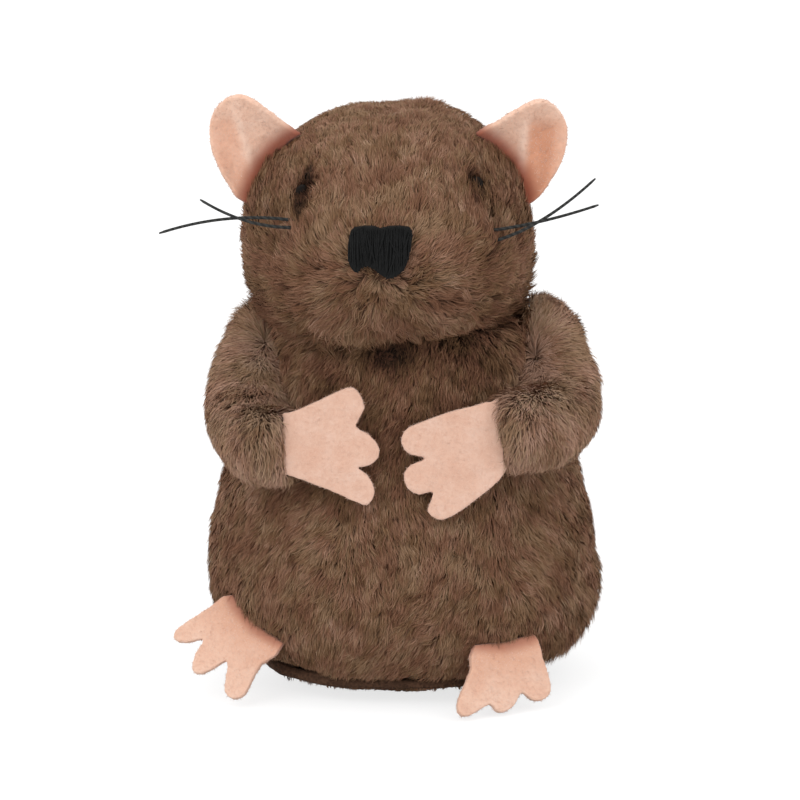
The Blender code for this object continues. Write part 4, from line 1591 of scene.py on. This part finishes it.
@dataclass
class SleevePanel(PlushPanel):
    """An arm's sleeve, whose pile flows out and down from the pit of the elbow.

    Attributes:
        paw: the CAD paw at its end.
        pit_mm: across and height of the pit of the elbow.
        sign: the side's sign along X.
        drop: how much lower than straight out of the pit the pile flows.
        inner_test: how near the body the filling is covered by the inner panel.
        inner_thickness: of the inner panel's cloth.
        elbow_side_mm: how far out the outside of the elbow starts and ends.
    """

    paw: str = ""
    pit_mm: tuple[float, float] = (0.0, 0.0)
    sign: int = 1
    drop: float = 0.001
    inner_test: float = 0.0004
    inner_thickness: float = 0.0003
    elbow_side_mm: tuple[float, float] = (38.0, 45.0)
    elbow: Rise = Rise(Z, 80.0, 70.0)
    forearm: Rise = Rise(Y, -14.0, -24.0)
    shoulder: Rise = Rise(Z, 84.0, 91.0)
    # Where the upper arm gets painted shade
    upper_arm: Rise = Rise(Z, 80.0, 94.0)

    def from_pit(self, places: np.ndarray) -> np.ndarray:
        """Across and up from the pit of the elbow to each place."""
        return places[:, ::2] - np.array(self.pit_mm) * MM

    def way_at(self, places: np.ndarray, normals: np.ndarray) -> np.ndarray:
        """Out of the pit of the elbow all round, and forwards on top of the forearm."""
        ways = np.zeros((len(places), 3))
        ways[:, ::2] = self.from_pit(places) - [0.0, self.drop]
        ways = unit(ways)
        forearm = self.forearm.at(places) * smooth_step(normals[:, Z], 0.1, 0.7)
        ways[:, Y] = -0.15 - 0.6 * forearm
        return ways

    def pit_share(self, places: np.ndarray) -> np.ndarray:
        """How near each place is to the pit of the elbow, where the pile parts."""
        return 1 - smooth_step(np.linalg.norm(self.from_pit(places), axis=1), 0.001, 0.007)

    def thickness_at(self, places: np.ndarray) -> np.ndarray:
        """Thick where it parts, so that its roots stay hidden there."""
        return 1 + 1.2 * self.pit_share(places) + 0.3 * self.seam_share(places)

    def seam_share(self, places: np.ndarray) -> np.ndarray:
        """How near each place is to the seam on the body."""
        return nearness(places, self.sewn_to, 0.001, 0.006)

    def shoulder_share(self, places: np.ndarray) -> np.ndarray:
        """How much each place belongs to the shoulder's top, beside the cheek."""
        return nearness(places, "head_cover", 0.003, 0.012) * self.shoulder.at(places)

    def length_at(self, places: np.ndarray) -> np.ndarray:
        """Short on the outside of the elbow, long beside the cheek."""
        outside = smooth_step(self.sign * places[:, X] / MM, *self.elbow_side_mm)
        elbow = outside * self.elbow.at(places)
        return 1 - 0.4 * elbow + 0.45 * self.shoulder_share(places)

    def lift_at(self, places: np.ndarray) -> np.ndarray:
        """Up beside the cheek, where it closes the gap to the head."""
        return 18 * self.shoulder_share(places) + 10 * self.pit_share(places)

    def tone_at(self, places: np.ndarray) -> np.ndarray:
        """Painted shade under the cheek and on the upper arm, painted light where the pile parts
        and at the seam, and lighter at the wrist.
        """
        cheek = nearness(places, "head_cover", 0.002, 0.014) * (places[:, Y] < -0.004)
        wrist = nearness(places, self.paw, 0.002, 0.007)
        parting = np.maximum(self.pit_share(places), 0.5 * self.seam_share(places))
        # Painted light at the parting and the seam, painted shade under the cheek and on the upper
        # arm
        dark = cheek + self.upper_arm.at(places)
        return 0.18 * parting - 0.04 * dark + 0.06 * wrist

    def build(
        self,
        pile_finish: bpy.types.Material,
        ground_finish: bpy.types.Material,
        built: dict[str, Solid],
    ) -> None:
        """Makes the sleeve, and the panel that closes it where it lies against the body.

        Args:
            pile_finish: the fibres' material.
            ground_finish: the cloth's material.
            built: the surfaces of pieces by name, which gets the sleeve's.
        """
        super().build(pile_finish, ground_finish, built)
        beside = Solid.of_node(self.sewn_to)
        form = merged_copy(self.filling)
        away = [
            face
            for face in form.faces
            if beside.distance(face.calc_center_median()) > self.inner_test
        ]
        bmesh.ops.delete(form, geom=away, context="FACES")
        mesh = subdivided(to_mesh(form, self.node + "_inner_cloth"))
        rng = np.random.default_rng(self.seed + 5)
        fibres = self.grow(mesh, rng, built)
        self.add_cloth("_inner_cloth", mesh, ground_finish, self.inner_thickness)
        self.add_pile("_inner_pile", fibres, rng, pile_finish)


@dataclass
class FeltPiece:
    """A piece of cut needle felt: an ear, a paw or a foot.

    Attributes:
        node: the CAD felt that it stands for.
        body: the CAD body that carries it.
        neighbour: the CAD cover that it is sewn to.
        tuck: how far its sewn edge sinks into that cover's pile.
        tuck_reach: how far from the cover that starts.
        seam_shadow_reach: how far from the cover the felt has the pile's painted shadow.
        seam_shadow_most: how strong that painted shadow is at the cover.
        warm_reach: how far from the cover the felt has painted warm shade.
        warm_most: how strong that painted warm shade is at the cover.
        voxel: the grain of its mesh.
        nap_per_mm2: loose fibres on a square millimetre.
        nap_length: of a loose fibre.
        nap_width: of a loose fibre.
        swells: how high the felt's soft swells are, with how far they are apart.
    """

    node: str
    body: str
    neighbour: str
    seed: int
    tuck: float = 0.0008
    tuck_reach: float = 0.003
    seam_shadow_reach: float = 0.003
    seam_shadow_most: float = 0.0
    warm_reach: float = 0.004
    warm_most: float = 0.0
    voxel: float = 0.00032
    nap_per_mm2: float = 5.0
    nap_length: float = 0.0007
    nap_width: float = 0.00012
    swells: tuple[tuple[float, float], ...] = ((0.00010, 0.006), (0.00005, 0.0018))

    def form(self) -> bpy.types.Mesh:
        """Makes the cut piece with rounded, slightly uneven faces, its sewn edge tucked in.

        Returns:
            Its mesh.
        """
        mesh = to_mesh(merged_copy(self.node), self.node + "_felt")
        mesh = with_modifiers(
            mesh,
            [
                ("REMESH", {"mode": "VOXEL", "voxel_size": self.voxel}),
                ("SMOOTH", {"factor": 0.5, "iterations": 5}),
            ],
        )
        places, normals = points_of(mesh)
        swell = np.zeros(len(places))
        for number, (height, apart) in enumerate(self.swells):
            swell += height * SoftField(apart, self.seed + number).at(places)
        shift = normals * swell[:, None] + self.bend_at(places)
        gap, outwards = self.from_cover(places)
        sunk = self.tuck * (1 - smooth_step(gap, 0.0, self.tuck_reach))
        move_points(mesh, places + shift - outwards * sunk[:, None])
        return mesh

    def from_cover(self, places: np.ndarray) -> tuple[np.ndarray, np.ndarray]:
        """How far the cover is from each place, and which way it faces there."""
        cover = Solid.of_node(self.neighbour)
        nearest = [cover.tree.find_nearest(place) for place in places.tolist()]
        return np.array([n[3] for n in nearest]), np.array([n[1] for n in nearest])

    def bend_at(self, places: np.ndarray) -> np.ndarray:
        """How far the felt is bent from its flat cut at each place: not at all."""
        return np.zeros((len(places), 3))

    def tints_at(self, places: np.ndarray) -> np.ndarray:
        """The shares of painted shadow, painted warm shade and painted highlight at each place."""
        gap, _ = self.from_cover(places)
        tints = np.zeros((len(places), 3))
        # Painted shadow of the pile near the seam, and painted warm shade
        tints[:, 0] = self.seam_shadow_most * (1 - smooth_step(gap, 0.0006, self.seam_shadow_reach))
        tints[:, 1] = self.warm_most * (1 - smooth_step(gap, 0.0, self.warm_reach))
        return tints

    def nap(self, mesh: bpy.types.Mesh, rng: np.random.Generator) -> Fibres:
        """Makes short loose fibres over the felt.

        Args:
            mesh: the felt.
            rng: the piece's random numbers.

        Returns:
            The fibres, which keep off its sewn edge.
        """
        panel = PlushPanel(self.node, "", self.body, self.seed, Pile(per_mm2=self.nap_per_mm2))
        roots, normals = panel.roots(mesh, rng)
        count = len(roots)
        ways = unit(normals * 0.7 + rng.normal(0, 0.6, (count, 3)))
        length = (self.nap_length * rng.uniform(0.4, 1.2, count))[:, None]
        bend = unit(ways + rng.normal(0, 0.5, (count, 3)))
        paths = np.stack([roots, roots + ways * length / 2, roots + (ways + bend) * length / 2], 1)
        width = self.nap_width * rng.uniform(0.7, 1.2, count)
        gap, _ = self.from_cover(roots)
        loose = gap > self.seam_shadow_reach * 0.7
        return Fibres(paths, normals, width, rng.random(count)).keep(loose)

    def build(
        self, felt: bpy.types.Material, nap: bpy.types.Material, built: dict[str, Solid]
    ) -> None:
        """Makes the felt and its nap.

        Args:
            felt: the felt's material.
            nap: the loose fibres' material.
            built: the surfaces of pieces by name, which gets this one's.
        """
        rng = np.random.default_rng(self.seed)
        mesh = self.form()
        places, _ = points_of(mesh)
        tints = np.ones((len(places), 4))
        tints[:, :3] = self.tints_at(places)
        held = mesh.color_attributes.new(PAINTED_TINTS, "FLOAT_COLOR", "POINT")
        held.data.foreach_set("color", tints.astype(np.float32).ravel())
        fibres = self.nap(mesh, rng)
        built[self.node + "_felt"] = Solid(mesh)
        piece = add_piece(self.node + "_felt", mesh, felt, self.body)
        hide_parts(self.node)
        label = self.node + "_nap"
        add_piece(label, fibres.mesh(label, rng), nap, self.body)


@dataclass
class EarPiece(FeltPiece):
    """An ear, creased from its tip to its root so that it cups.

    Attributes:
        crease_mm: across and height of the crease's upper and lower end.
        outer: 1 where the ear's outer part is at +X, and -1 where it is at -X.
        warmth: how much painted warm shade the cup outside the crease has.
        ridge: how far the crease stands forwards.
        ridge_half_width: half its width.
        hollow: how far the felt lies back outside the crease.
        hollow_mm: how far from the crease that is, and half its width.
        pale_mm: how far from the crease its painted highlight is, and half its width.
    """

    crease_mm: tuple[tuple[float, float], tuple[float, float]] = ((0.0, 0.0), (0.0, -1.0))
    outer: int = 1
    warmth: float = 0.5
    ridge: float = 0.0005
    hollow: float = 0.0009
    ridge_half_width: float = 0.0014
    hollow_mm: tuple[float, float] = (4.5, 2.5)
    pale_mm: tuple[float, float] = (0.0, 1.1)

    def from_crease(self, places: np.ndarray) -> tuple[np.ndarray, np.ndarray]:
        """How far out from the crease each place is, and how far down along it, as a share."""
        top, bottom = (np.array(end) * MM for end in self.crease_mm)
        along = bottom - top
        length = np.linalg.norm(along)
        flat = places[:, ::2] - top
        down = flat @ along / length**2
        beside = (flat[:, 0] * along[1] - flat[:, 1] * along[0]) / length
        return -beside * self.outer, down

    def bend_at(self, places: np.ndarray) -> np.ndarray:
        """Forwards on the crease, and back in the hollow outside it."""
        out, down = self.from_crease(places)
        held = smooth_step(down, -0.15, 0.25) * (1 - smooth_step(down, 0.9, 1.3))
        ridge = self.ridge * mound(out, 0.0, self.ridge_half_width)
        cup = self.hollow * mound(out / MM, *self.hollow_mm)
        shift = np.zeros((len(places), 3))
        shift[:, 1] = (cup - ridge) * held
        return shift

    def tints_at(self, places: np.ndarray) -> np.ndarray:
        """Painted shadow at the seam, a painted highlight on the crease and painted warm shade in
        the cup outside it.
        """
        tints = super().tints_at(places)
        out, down = self.from_crease(places)
        # Painted warm shade in the cup outside the crease; the pale share below is a painted
        # highlight on the crease
        hollow = smooth_step(out, 0.0004, 0.0025) * (1 - 0.6 * smooth_step(out, 0.006, 0.010))
        low = smooth_step(down, -0.1, 0.25)
        tints[:, 1] = np.maximum(tints[:, 1], self.warmth * hollow * low)
        pale = mound(out / MM, *self.pale_mm) * low * (1 - smooth_step(down, 0.6, 1.2))
        tints[:, 2] = 0.4 * pale
        return tints


def add_tube(form: bmesh.types.BMesh, route: list[Vector], radii: list[float], sides: int) -> None:
    """Adds a closed tube along a route.

    Args:
        form: the bmesh that gets it.
        route: the points that it follows.
        radii: its radius at each point.
        sides: faces round it.
    """
    last = []
    for number, (place, radius) in enumerate(zip(route, radii)):
        before, after = route[max(number - 1, 0)], route[min(number + 1, len(route) - 1)]
        turn = (after - before).to_track_quat("Z", "Y").to_matrix().to_4x4()
        ring = bmesh.ops.create_circle(
            form,
            segments=sides,
            radius=radius,
            matrix=Matrix.Translation(place) @ turn,
            cap_ends=number in (0, len(route) - 1),
        )["verts"]
        if last:
            edges = {e for v in last + ring for e in v.link_edges}
            loops = [e for e in edges if all(v in last for v in e.verts)]
            loops += [e for e in edges if all(v in ring for v in e.verts)]
            bmesh.ops.bridge_loops(form, edges=loops)
        last = ring
    bmesh.ops.recalc_face_normals(form, faces=form.faces)


@dataclass
class NosePatch:
    """The embroidered nose: a layer of satin stitches, and a looser one across it.

    Attributes:
        pitch: from stitch to stitch.
        stations: points along a stitch.
        arch: how high a stitch stands in its middle.
        loose_count: how many looser stitches lie on top.
        loose_lean: by how many degrees these lean.
        seed: of its random choices.
        aside_mm: how far stitches stray to the side.
        top_mm: the least and the most by which they pass the patch at its top.
        bottom_mm: the same at its bottom.
        step_mm: from try to try when the edge of the patch is looked for.
        edge_mm: how far inside its edge the patch is still sure to be there.
        sunk_mm: how deep the ends of the stitches sit.
    """

    pitch: float = 0.00050
    stations: int = 7
    arch: float = 0.00035
    loose_count: int = 26
    loose_lean: float = 16.0
    seed: int = 71
    aside_mm: float = 0.22
    top_mm: tuple[float, float] = (-0.3, 0.35)
    bottom_mm: tuple[float, float] = (-0.3, 0.5)
    step_mm: float = 0.1
    edge_mm: float = 0.7
    sunk_mm: float = 0.25

    def columns(self, ground: Solid) -> list[tuple[float, float, float]]:
        """Finds where each stitch starts and ends.

        Args:
            ground: the nose of the CAD.

        Returns:
            For each stitch its place across, its top and its bottom.
        """
        low, high = ground.low, ground.high
        found = []
        steps = np.arange(low[Z] - MM, high[Z] + MM, self.step_mm * MM)
        for across in np.arange(low[X] + self.pitch / 2, high[X], self.pitch):
            hit = [z for z in steps if self.surface(ground, across, z) is not None]
            if len(hit) > 6:
                found.append((float(across), float(hit[-1]), float(hit[0])))
        return found

    @staticmethod
    def surface(ground: Solid, across: float, height: float) -> Vector | None:
        """The front of the nose at a place across and a height, or None beside it."""
        return ground.tree.ray_cast(Vector((across, -0.1, height)), Vector((0, 1, 0)), 0.2)[0]

    def lay(
        self,
        form: bmesh.types.BMesh,
        ground: Solid,
        start: tuple[float, float],
        end: tuple[float, float],
        raised: float,
        radius: float,
    ) -> None:
        """Lays one stitch over the nose.

        Args:
            form: the bmesh that gets it.
            ground: the nose of the CAD.
            start: where it comes out, across and height.
            end: where it goes back in.
            raised: how far its middle stands over the ground.
            radius: of the floss.
        """
        route, radii = [], []
        for share in np.linspace(0, 1, self.stations):
            across = float(start[0] + (end[0] - start[0]) * share)
            height = float(start[1] + (end[1] - start[1]) * share)
            inner = max(height, end[1] + self.edge_mm * MM)
            inner = min(inner, start[1] - self.edge_mm * MM)
            front = self.surface(ground, across, inner)
            depth = front.y if front else route[-1].y if route else float(ground.low[Y])
            bulge = math.sin(math.pi * share) ** 0.5
            depth += self.sunk_mm * MM - raised * bulge
            route.append(Vector((across, depth, height)))
            radii.append(radius * (0.5 + 0.5 * bulge))
        add_tube(form, route, radii, 6)

    def build(self, thread: bpy.types.Material) -> None:
        """Makes the nose.

        Args:
            thread: the material of its stitches.
        """
        rng = np.random.default_rng(self.seed)
        ground = Solid.of_node("nose")
        form = merged_copy("nose")
        columns = self.columns(ground)
        for across, top, bottom in columns:
            aside = rng.normal(0, self.aside_mm)
            start = (across + aside * MM, top + rng.uniform(*self.top_mm) * MM)
            aside = rng.normal(0, self.aside_mm)
            end = (across + aside * MM, bottom - rng.uniform(*self.bottom_mm) * MM)
            raised = self.arch * rng.uniform(0.6, 1.4)
            self.lay(form, ground, start, end, raised, self.pitch * rng.uniform(0.45, 0.75))
        for _ in range(self.loose_count):
            across, top, bottom = columns[rng.integers(1, len(columns) - 1)]
            middle = bottom + (top - bottom) * rng.uniform(0.25, 0.75)
            half = (top - bottom) * rng.uniform(0.2, 0.45)
            lean = math.tan(math.radians(rng.normal(0, self.loose_lean))) * half
            start = (across + lean, min(middle + half, top + 0.3 * MM))
            end = (across - lean, max(middle - half, bottom - 0.4 * MM))
            raised = self.arch * rng.uniform(1.6, 2.4)
            self.lay(form, ground, start, end, raised, self.pitch * rng.uniform(0.3, 0.5))
        mesh = to_mesh(form, "nose_stitches")
        piece = add_piece("nose_stitches", mesh, thread, "head")
        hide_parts("nose")


@dataclass
class EyeBead:
    """A small dark eye, sunk in a slit of the pile."""

    side: Side

    @property
    def node(self) -> str:
        """The CAD node's name."""
        return self.side.value + "_eye"

    def place(self) -> Vector:
        """The middle of the CAD eye."""
        low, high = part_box(self.node)
        return (low + high) / 2

    def build(self, resin: bpy.types.Material) -> None:
        """Makes the eye.

        Args:
            resin: its material.
        """
        low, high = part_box(self.node)
        radius = max(high - low) / 2
        middle = Matrix.Translation(self.place())
        form = bmesh.new()
        bmesh.ops.create_icosphere(form, subdivisions=4, radius=radius, matrix=middle)
        piece = add_piece(self.node + "_bead", to_mesh(form, self.node), resin, "head")
        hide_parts(self.node)


@dataclass
class Whisker:
    """A stiff cord that leaves the cheek and bows, on the route that the solid has.

    Attributes:
        node: the CAD whisker.
        root_mm: where it leaves the cheek.
        bow_mm: what it bends towards.
        tip_mm: where it ends.
        radius: near the root.
        thinning: the share that it loses towards its tip.
        tip_share: how much of that is left at its very end.
        seated_mm: how far it runs into the cheek.
        stations: points along it.
        sides: faces round it.
    """

    node: str
    root_mm: tuple[float, float, float]
    bow_mm: tuple[float, float, float]
    tip_mm: tuple[float, float, float]
    radius: float = 0.00039
    thinning: float = 0.2
    tip_share: float = 0.6
    seated_mm: float = 3.0
    stations: int = 25
    sides: int = 10

    def route(self) -> list[Vector]:
        """Finds the whisker's way.

        Returns:
            Points along it, from inside the cheek to its tip.
        """
        root, bow, tip = (Vector(p) * MM for p in (self.root_mm, self.bow_mm, self.tip_mm))
        points = [root - (bow - root).normalized() * self.seated_mm * MM]
        for number in range(self.stations):
            share = number / (self.stations - 1)
            points.append(root.lerp(bow, share).lerp(bow.lerp(tip, share), share))
        return points

    def build(self, cord: bpy.types.Material) -> None:
        """Makes the whisker.

        Args:
            cord: its material.
        """
        route = self.route()
        shares = [number / len(route) for number in range(len(route))]
        radii = [self.radius * (1.08 - self.thinning * share) for share in shares]
        radii[-1] *= self.tip_share
        form = bmesh.new()
        add_tube(form, route, radii, self.sides)
        mesh = to_mesh(form, self.node)
        piece = add_piece(self.node + "_cord", mesh, cord, "head")
        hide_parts(self.node)


@dataclass
class Filling:
    """Wadding inside a cover, in soft lumps that stay clear of the cloth.

    Attributes:
        node: the CAD filling that it stands for.
        body: the CAD body that carries it.
        seed: of its lumps.
        slot: a material slot's name, which is not used.
        suffix: the end of the piece's name.
        clear: how far it stays under the CAD's face.
        lump: how much deeper the hollows between its lumps are.
        lump_size: from lump to lump.
    """

    node: str
    body: str
    seed: int
    slot: str = "wadding"
    suffix: str = "tufts"
    clear: float = 0.0005
    lump: float = 0.0011
    lump_size: float = 0.009

    def build(self, finish: bpy.types.Material) -> None:
        """Makes the filling.

        Args:
            finish: its material.
        """
        mesh = subdivided(to_mesh(merged_copy(self.node), self.node))
        places, normals = points_of(mesh)
        hollows = 0.5 + 0.5 * SoftField(self.lump_size, self.seed).at(places)
        sunk = self.clear + self.lump * hollows.clip(0, 1)
        move_points(mesh, places - normals * sunk[:, None])
        piece = add_piece(f"{self.node}_{self.suffix}", mesh, finish, self.body)
        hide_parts(self.node)


def aim(thing: bpy.types.Object, way: Vector) -> None:
    """Turns a lamp or a camera so that it looks along a way."""
    thing.rotation_mode = "QUATERNION"
    thing.rotation_quaternion = way.to_track_quat("-Z", "Y")


@dataclass
class Studio:
    """A pale floor, soft lamps and the camera of the photograph.

    Attributes:
        target_mm: what the camera and the lamps look at.
        elevation: of the camera in degrees.
        distance: of the camera.
        seen_across: the width of the picture at the toy.
        lamps: each lamp's name, place and power in watts.
        lamp_side: the side of a lamp.
        light_round: the strength of the light from all round.
        floor_glow: how much the floor glows to the camera, so that it is white.
    """

    target_mm: tuple[float, float, float] = (-0.5, 0.0, 69.7)
    elevation: float = CAMERA_ELEVATION
    distance: float = 4.0
    seen_across: float = 0.1985
    sensor_mm: float = 36.0
    floor_side: float = 6.0
    lamps: tuple[tuple[str, tuple[float, float, float], float], ...] = (
        ("key_lamp", (-0.55, -0.75, 0.65), 2.4),
        ("fill_lamp", (0.6, -0.7, 0.4), 1.1),
    )
    lamp_side: float = 0.6
    light_round: float = 0.98
    floor_glow: float = 0.75

    def lamp(self, name: str, place: tuple[float, float, float], power: float) -> None:
        """Adds a soft square lamp that faces the toy.

        Args:
            name: the lamp's name.
            place: where it hangs.
            power: in watts.
        """
        data = bpy.data.lights.new(name, "AREA")
        data.shape = "SQUARE"
        data.size = self.lamp_side
        data.energy = power
        lamp = linked(name, data)
        lamp.location = place
        aim(lamp, Vector(self.target_mm) * MM - Vector(place))

    def world(self) -> None:
        """Lights the toy from all round, and shows white to the camera."""
        made = Recipe(bpy.data.worlds.new("studio"))
        light = made.mix(made.seen_straight(), self.light_round, 1.0)
        back = made.add("Background", {"Color": (1.0, 1.0, 1.0, 1.0), "Strength": light})
        made.add("OutputWorld", {"Surface": back})
        bpy.context.scene.world = made.owner

    def floor(self) -> None:
        """Lays a white floor that keeps the toy's shadow and is white beyond it."""
        form = bmesh.new()
        bmesh.ops.create_grid(form, x_segments=2, y_segments=2, size=self.floor_side / 2)
        mesh = to_mesh(form, "floor")
        floor = linked("floor", mesh)
        made = Recipe.material("matt_white_paper")
        paper = made.add("BsdfDiffuse", {"Color": linear("#D2D2D2")})
        thin = made.add("BsdfDiffuse", {"Color": linear("#A8A8A8")})
        glow = made.add("Emission", {"Strength": self.floor_glow})
        shown = made.add("AddShader", {0: thin, 1: glow})
        both = made.add("MixShader", {0: made.seen_straight(), 1: paper, 2: shown})
        made.add("OutputMaterial", {"Surface": both})
        mesh.materials.append(made.owner)

    def camera(self) -> None:
        """Places the camera of the photograph."""
        data = bpy.data.cameras.new("camera")
        data.sensor_width = self.sensor_mm
        data.lens = self.sensor_mm * self.distance / self.seen_across
        camera = linked("camera", data)
        lean = math.radians(self.elevation)
        back = Vector((0, -math.cos(lean), math.sin(lean)))
        camera.location = Vector(self.target_mm) * MM + back * self.distance
        aim(camera, -back)
        bpy.context.scene.camera = camera

    def build(self) -> None:
        """Sets up the whole studio."""
        bpy.context.scene.view_settings.view_transform = "Standard"
        self.camera()
        self.floor()
        self.world()
        for lamp in self.lamps:
            self.lamp(*lamp)


def build_felts(built: dict[str, Solid]) -> None:
    """Makes the ears, the paws and the feet, of felt from two dye lots and a lighter copy for the
    ears, painted light against the shade on them.

    Args:
        built: the surfaces of pieces by name, which gets those of the felts.
    """
    felt = NeedleFelt().make("needle_felt_pink")
    light_felt = NeedleFelt("#EDC3AB", "#F2D3C1", "#E5B49B").make("needle_felt_light_pink")
    # Painted light: the ears' felt is a lighter copy, with a warmer colour for the painted shade
    # in their cups
    ear_felt = NeedleFelt("#F4C8AF", "#F7D6C3", "#ECBA9F", warm="#DA9775").make("needle_felt_ear")
    nap = FeltNap().make("needle_felt_nap")
    # The ends of each ear's crease, and how much painted warm shade its cup has
    creases = {
        Side.RIGHT: (((-40.9, 145.0), (-36.7, 129.3)), 0.35),
        Side.LEFT: (((30.4, 143.5), (28.8, 127.0)), 0.85),
    }
    for number, side in enumerate(Side):
        name = side.value
        crease, warmth = creases[side]
        ear = EarPiece(
            name + "_ear",
            name + "_ear_flap",
            "head_cover",
            40 + number,
            tuck=0.0017,
            tuck_reach=0.004,
            # Painted shadow of the pile at the ear's seam
            seam_shadow_reach=0.0056,
            seam_shadow_most=0.95,
            crease_mm=crease,
            outer=side.sign,
            warmth=warmth,
        )
        paw = FeltPiece(name + "_paw", name + "_hand", name + "_arm_sleeve", 50 + number)
        foot = FeltPiece(
            name + "_foot",
            name + "_foot_flap",
            "body_cover",
            60 + number,
            tuck=0.0017,
            tuck_reach=0.005,
            # Painted shadow and warm shade on the heel, where the body's pile meets it
            seam_shadow_most=0.6,
            warm_reach=0.011,
            warm_most=0.55,
        )
        for piece, dye_lot in ((ear, ear_felt), (paw, felt), (foot, light_felt)):
            piece.build(dye_lot, nap, built)


def build_plush(built: dict[str, Solid], eyes: list[EyeBead]) -> None:
    """Makes the covers of body, base, head and arms, whose pile goes round the felts.

    Args:
        built: the surfaces of pieces by name, which gets those of the cloths.
        eyes: the beads, which lie in slits in the pile of the head.
    """
    pile, ground = PlushPile().make(), PlushGround().make()
    sleeves = ("right_arm_sleeve", "left_arm_sleeve")
    felts = tuple(side.value + limb for side in Side for limb in ("_paw_felt", "_foot_felt"))
    panels = [
        BodyPanel(
            "body_cover",
            "body_wadding",
            "body",
            seed=11,
            blocked_by=("head_cover", *sleeves, *felts),
        ),
        BasePanel(
            "base_panel",
            "body_wadding",
            "body",
            seed=12,
            # The base's pile is painted with shade, a tone of -0.2 for the shadow under the toy
            pile=Pile(per_mm2=5.5, length=0.0018, root_lift=25.0, tip_lift=0.0, tone=-0.2),
            blocked_by=("right_foot_felt", "left_foot_felt"),
        ),
        HeadPanel(
            "head_cover",
            "head_wadding",
            "head",
            seed=13,
            eye_places=tuple(tuple(eye.place()) for eye in eyes),
            eye_slants=(68.0, 112.0),
            blocked_by=("body_cover", "right_ear_felt", "left_ear_felt", "nose", *sleeves),
        ),
    ]
    # The sleeves' pile is painted light, a tone of 0.24 for the light that their sideways faces
    # lose
    pile_of_sleeve = Pile(
        per_mm2=10.0,
        length=0.0050,
        root_lift=46.0,
        tip_lift=5.0,
        pull=0.15,
        stray=10.0,
        tone=0.24,
    )
    pits = {Side.RIGHT: (-34.0, 86.0), Side.LEFT: (33.0, 83.5)}
    for side in Side:
        sleeve = SleevePanel(
            side.value + "_arm_sleeve",
            side.value + "_arm_wadding",
            side.value + "_arm",
            seed=20 + side.sign,
            pile=pile_of_sleeve,
            blocked_by=("body_cover_cloth", "head_cover_cloth", "right_paw_felt", "left_paw_felt"),
            sewn_to="body_cover",
            paw=side.value + "_paw",
            pit_mm=pits[side],
            sign=side.sign,
        )
        panels.append(sleeve)
    for panel in panels:
        panel.build(pile, ground, built)


def build_face(eyes: list[EyeBead]) -> None:
    """Makes the nose, the eyes and the whiskers.

    Args:
        eyes: the beads.
    """
    NosePatch().build(FLOSS.make())
    resin = RESIN.make()
    for eye in eyes:
        eye.build(resin)
    cord = CORD.make()
    # Where each whisker leaves the cheek, what it bends towards and where it ends
    routes_mm = {
        "right_upper": ((-27.7, -35.1, 122.9), (-38.8, -39.2, 124.1), (-49.5, -36.4, 130.3)),
        "right_lower": ((-28.2, -33.1, 124.4), (-44.0, -35.2, 126.8), (-59.6, -33.1, 120.9)),
        "left_upper": ((24.1, -33.4, 119.5), (35.4, -37.4, 124.3), (47.4, -34.7, 135.2)),
        "left_lower": ((23.8, -32.3, 121.7), (35.8, -34.5, 124.1), (48.2, -32.3, 127.9)),
    }
    for name, route in routes_mm.items():
        Whisker(name + "_whisker", *route).build(cord)


def build_fillings() -> None:
    """Makes what the covers hold."""
    wadding = WADDING.make()
    for number, body in enumerate(("body", "head", "right_arm", "left_arm")):
        Filling(body + "_wadding", body, 81 + number).build(wadding)
    sachet = Filling("scent_sachet", "body", 85, "canvas", "pouch", 0.0002, 0.0006, 0.012)
    sachet.build(COTTON.make())


def main() -> None:
    """Builds the toy, piece by piece."""
    logging.basicConfig(level=logging.INFO, format="%(name)s: %(message)s")
    Studio().build()
    built: dict[str, Solid] = {}
    eyes = [EyeBead(side) for side in Side]
    build_felts(built)
    build_plush(built, eyes)
    build_face(eyes)
    build_fillings()


if __name__ == "__main__":
    main()
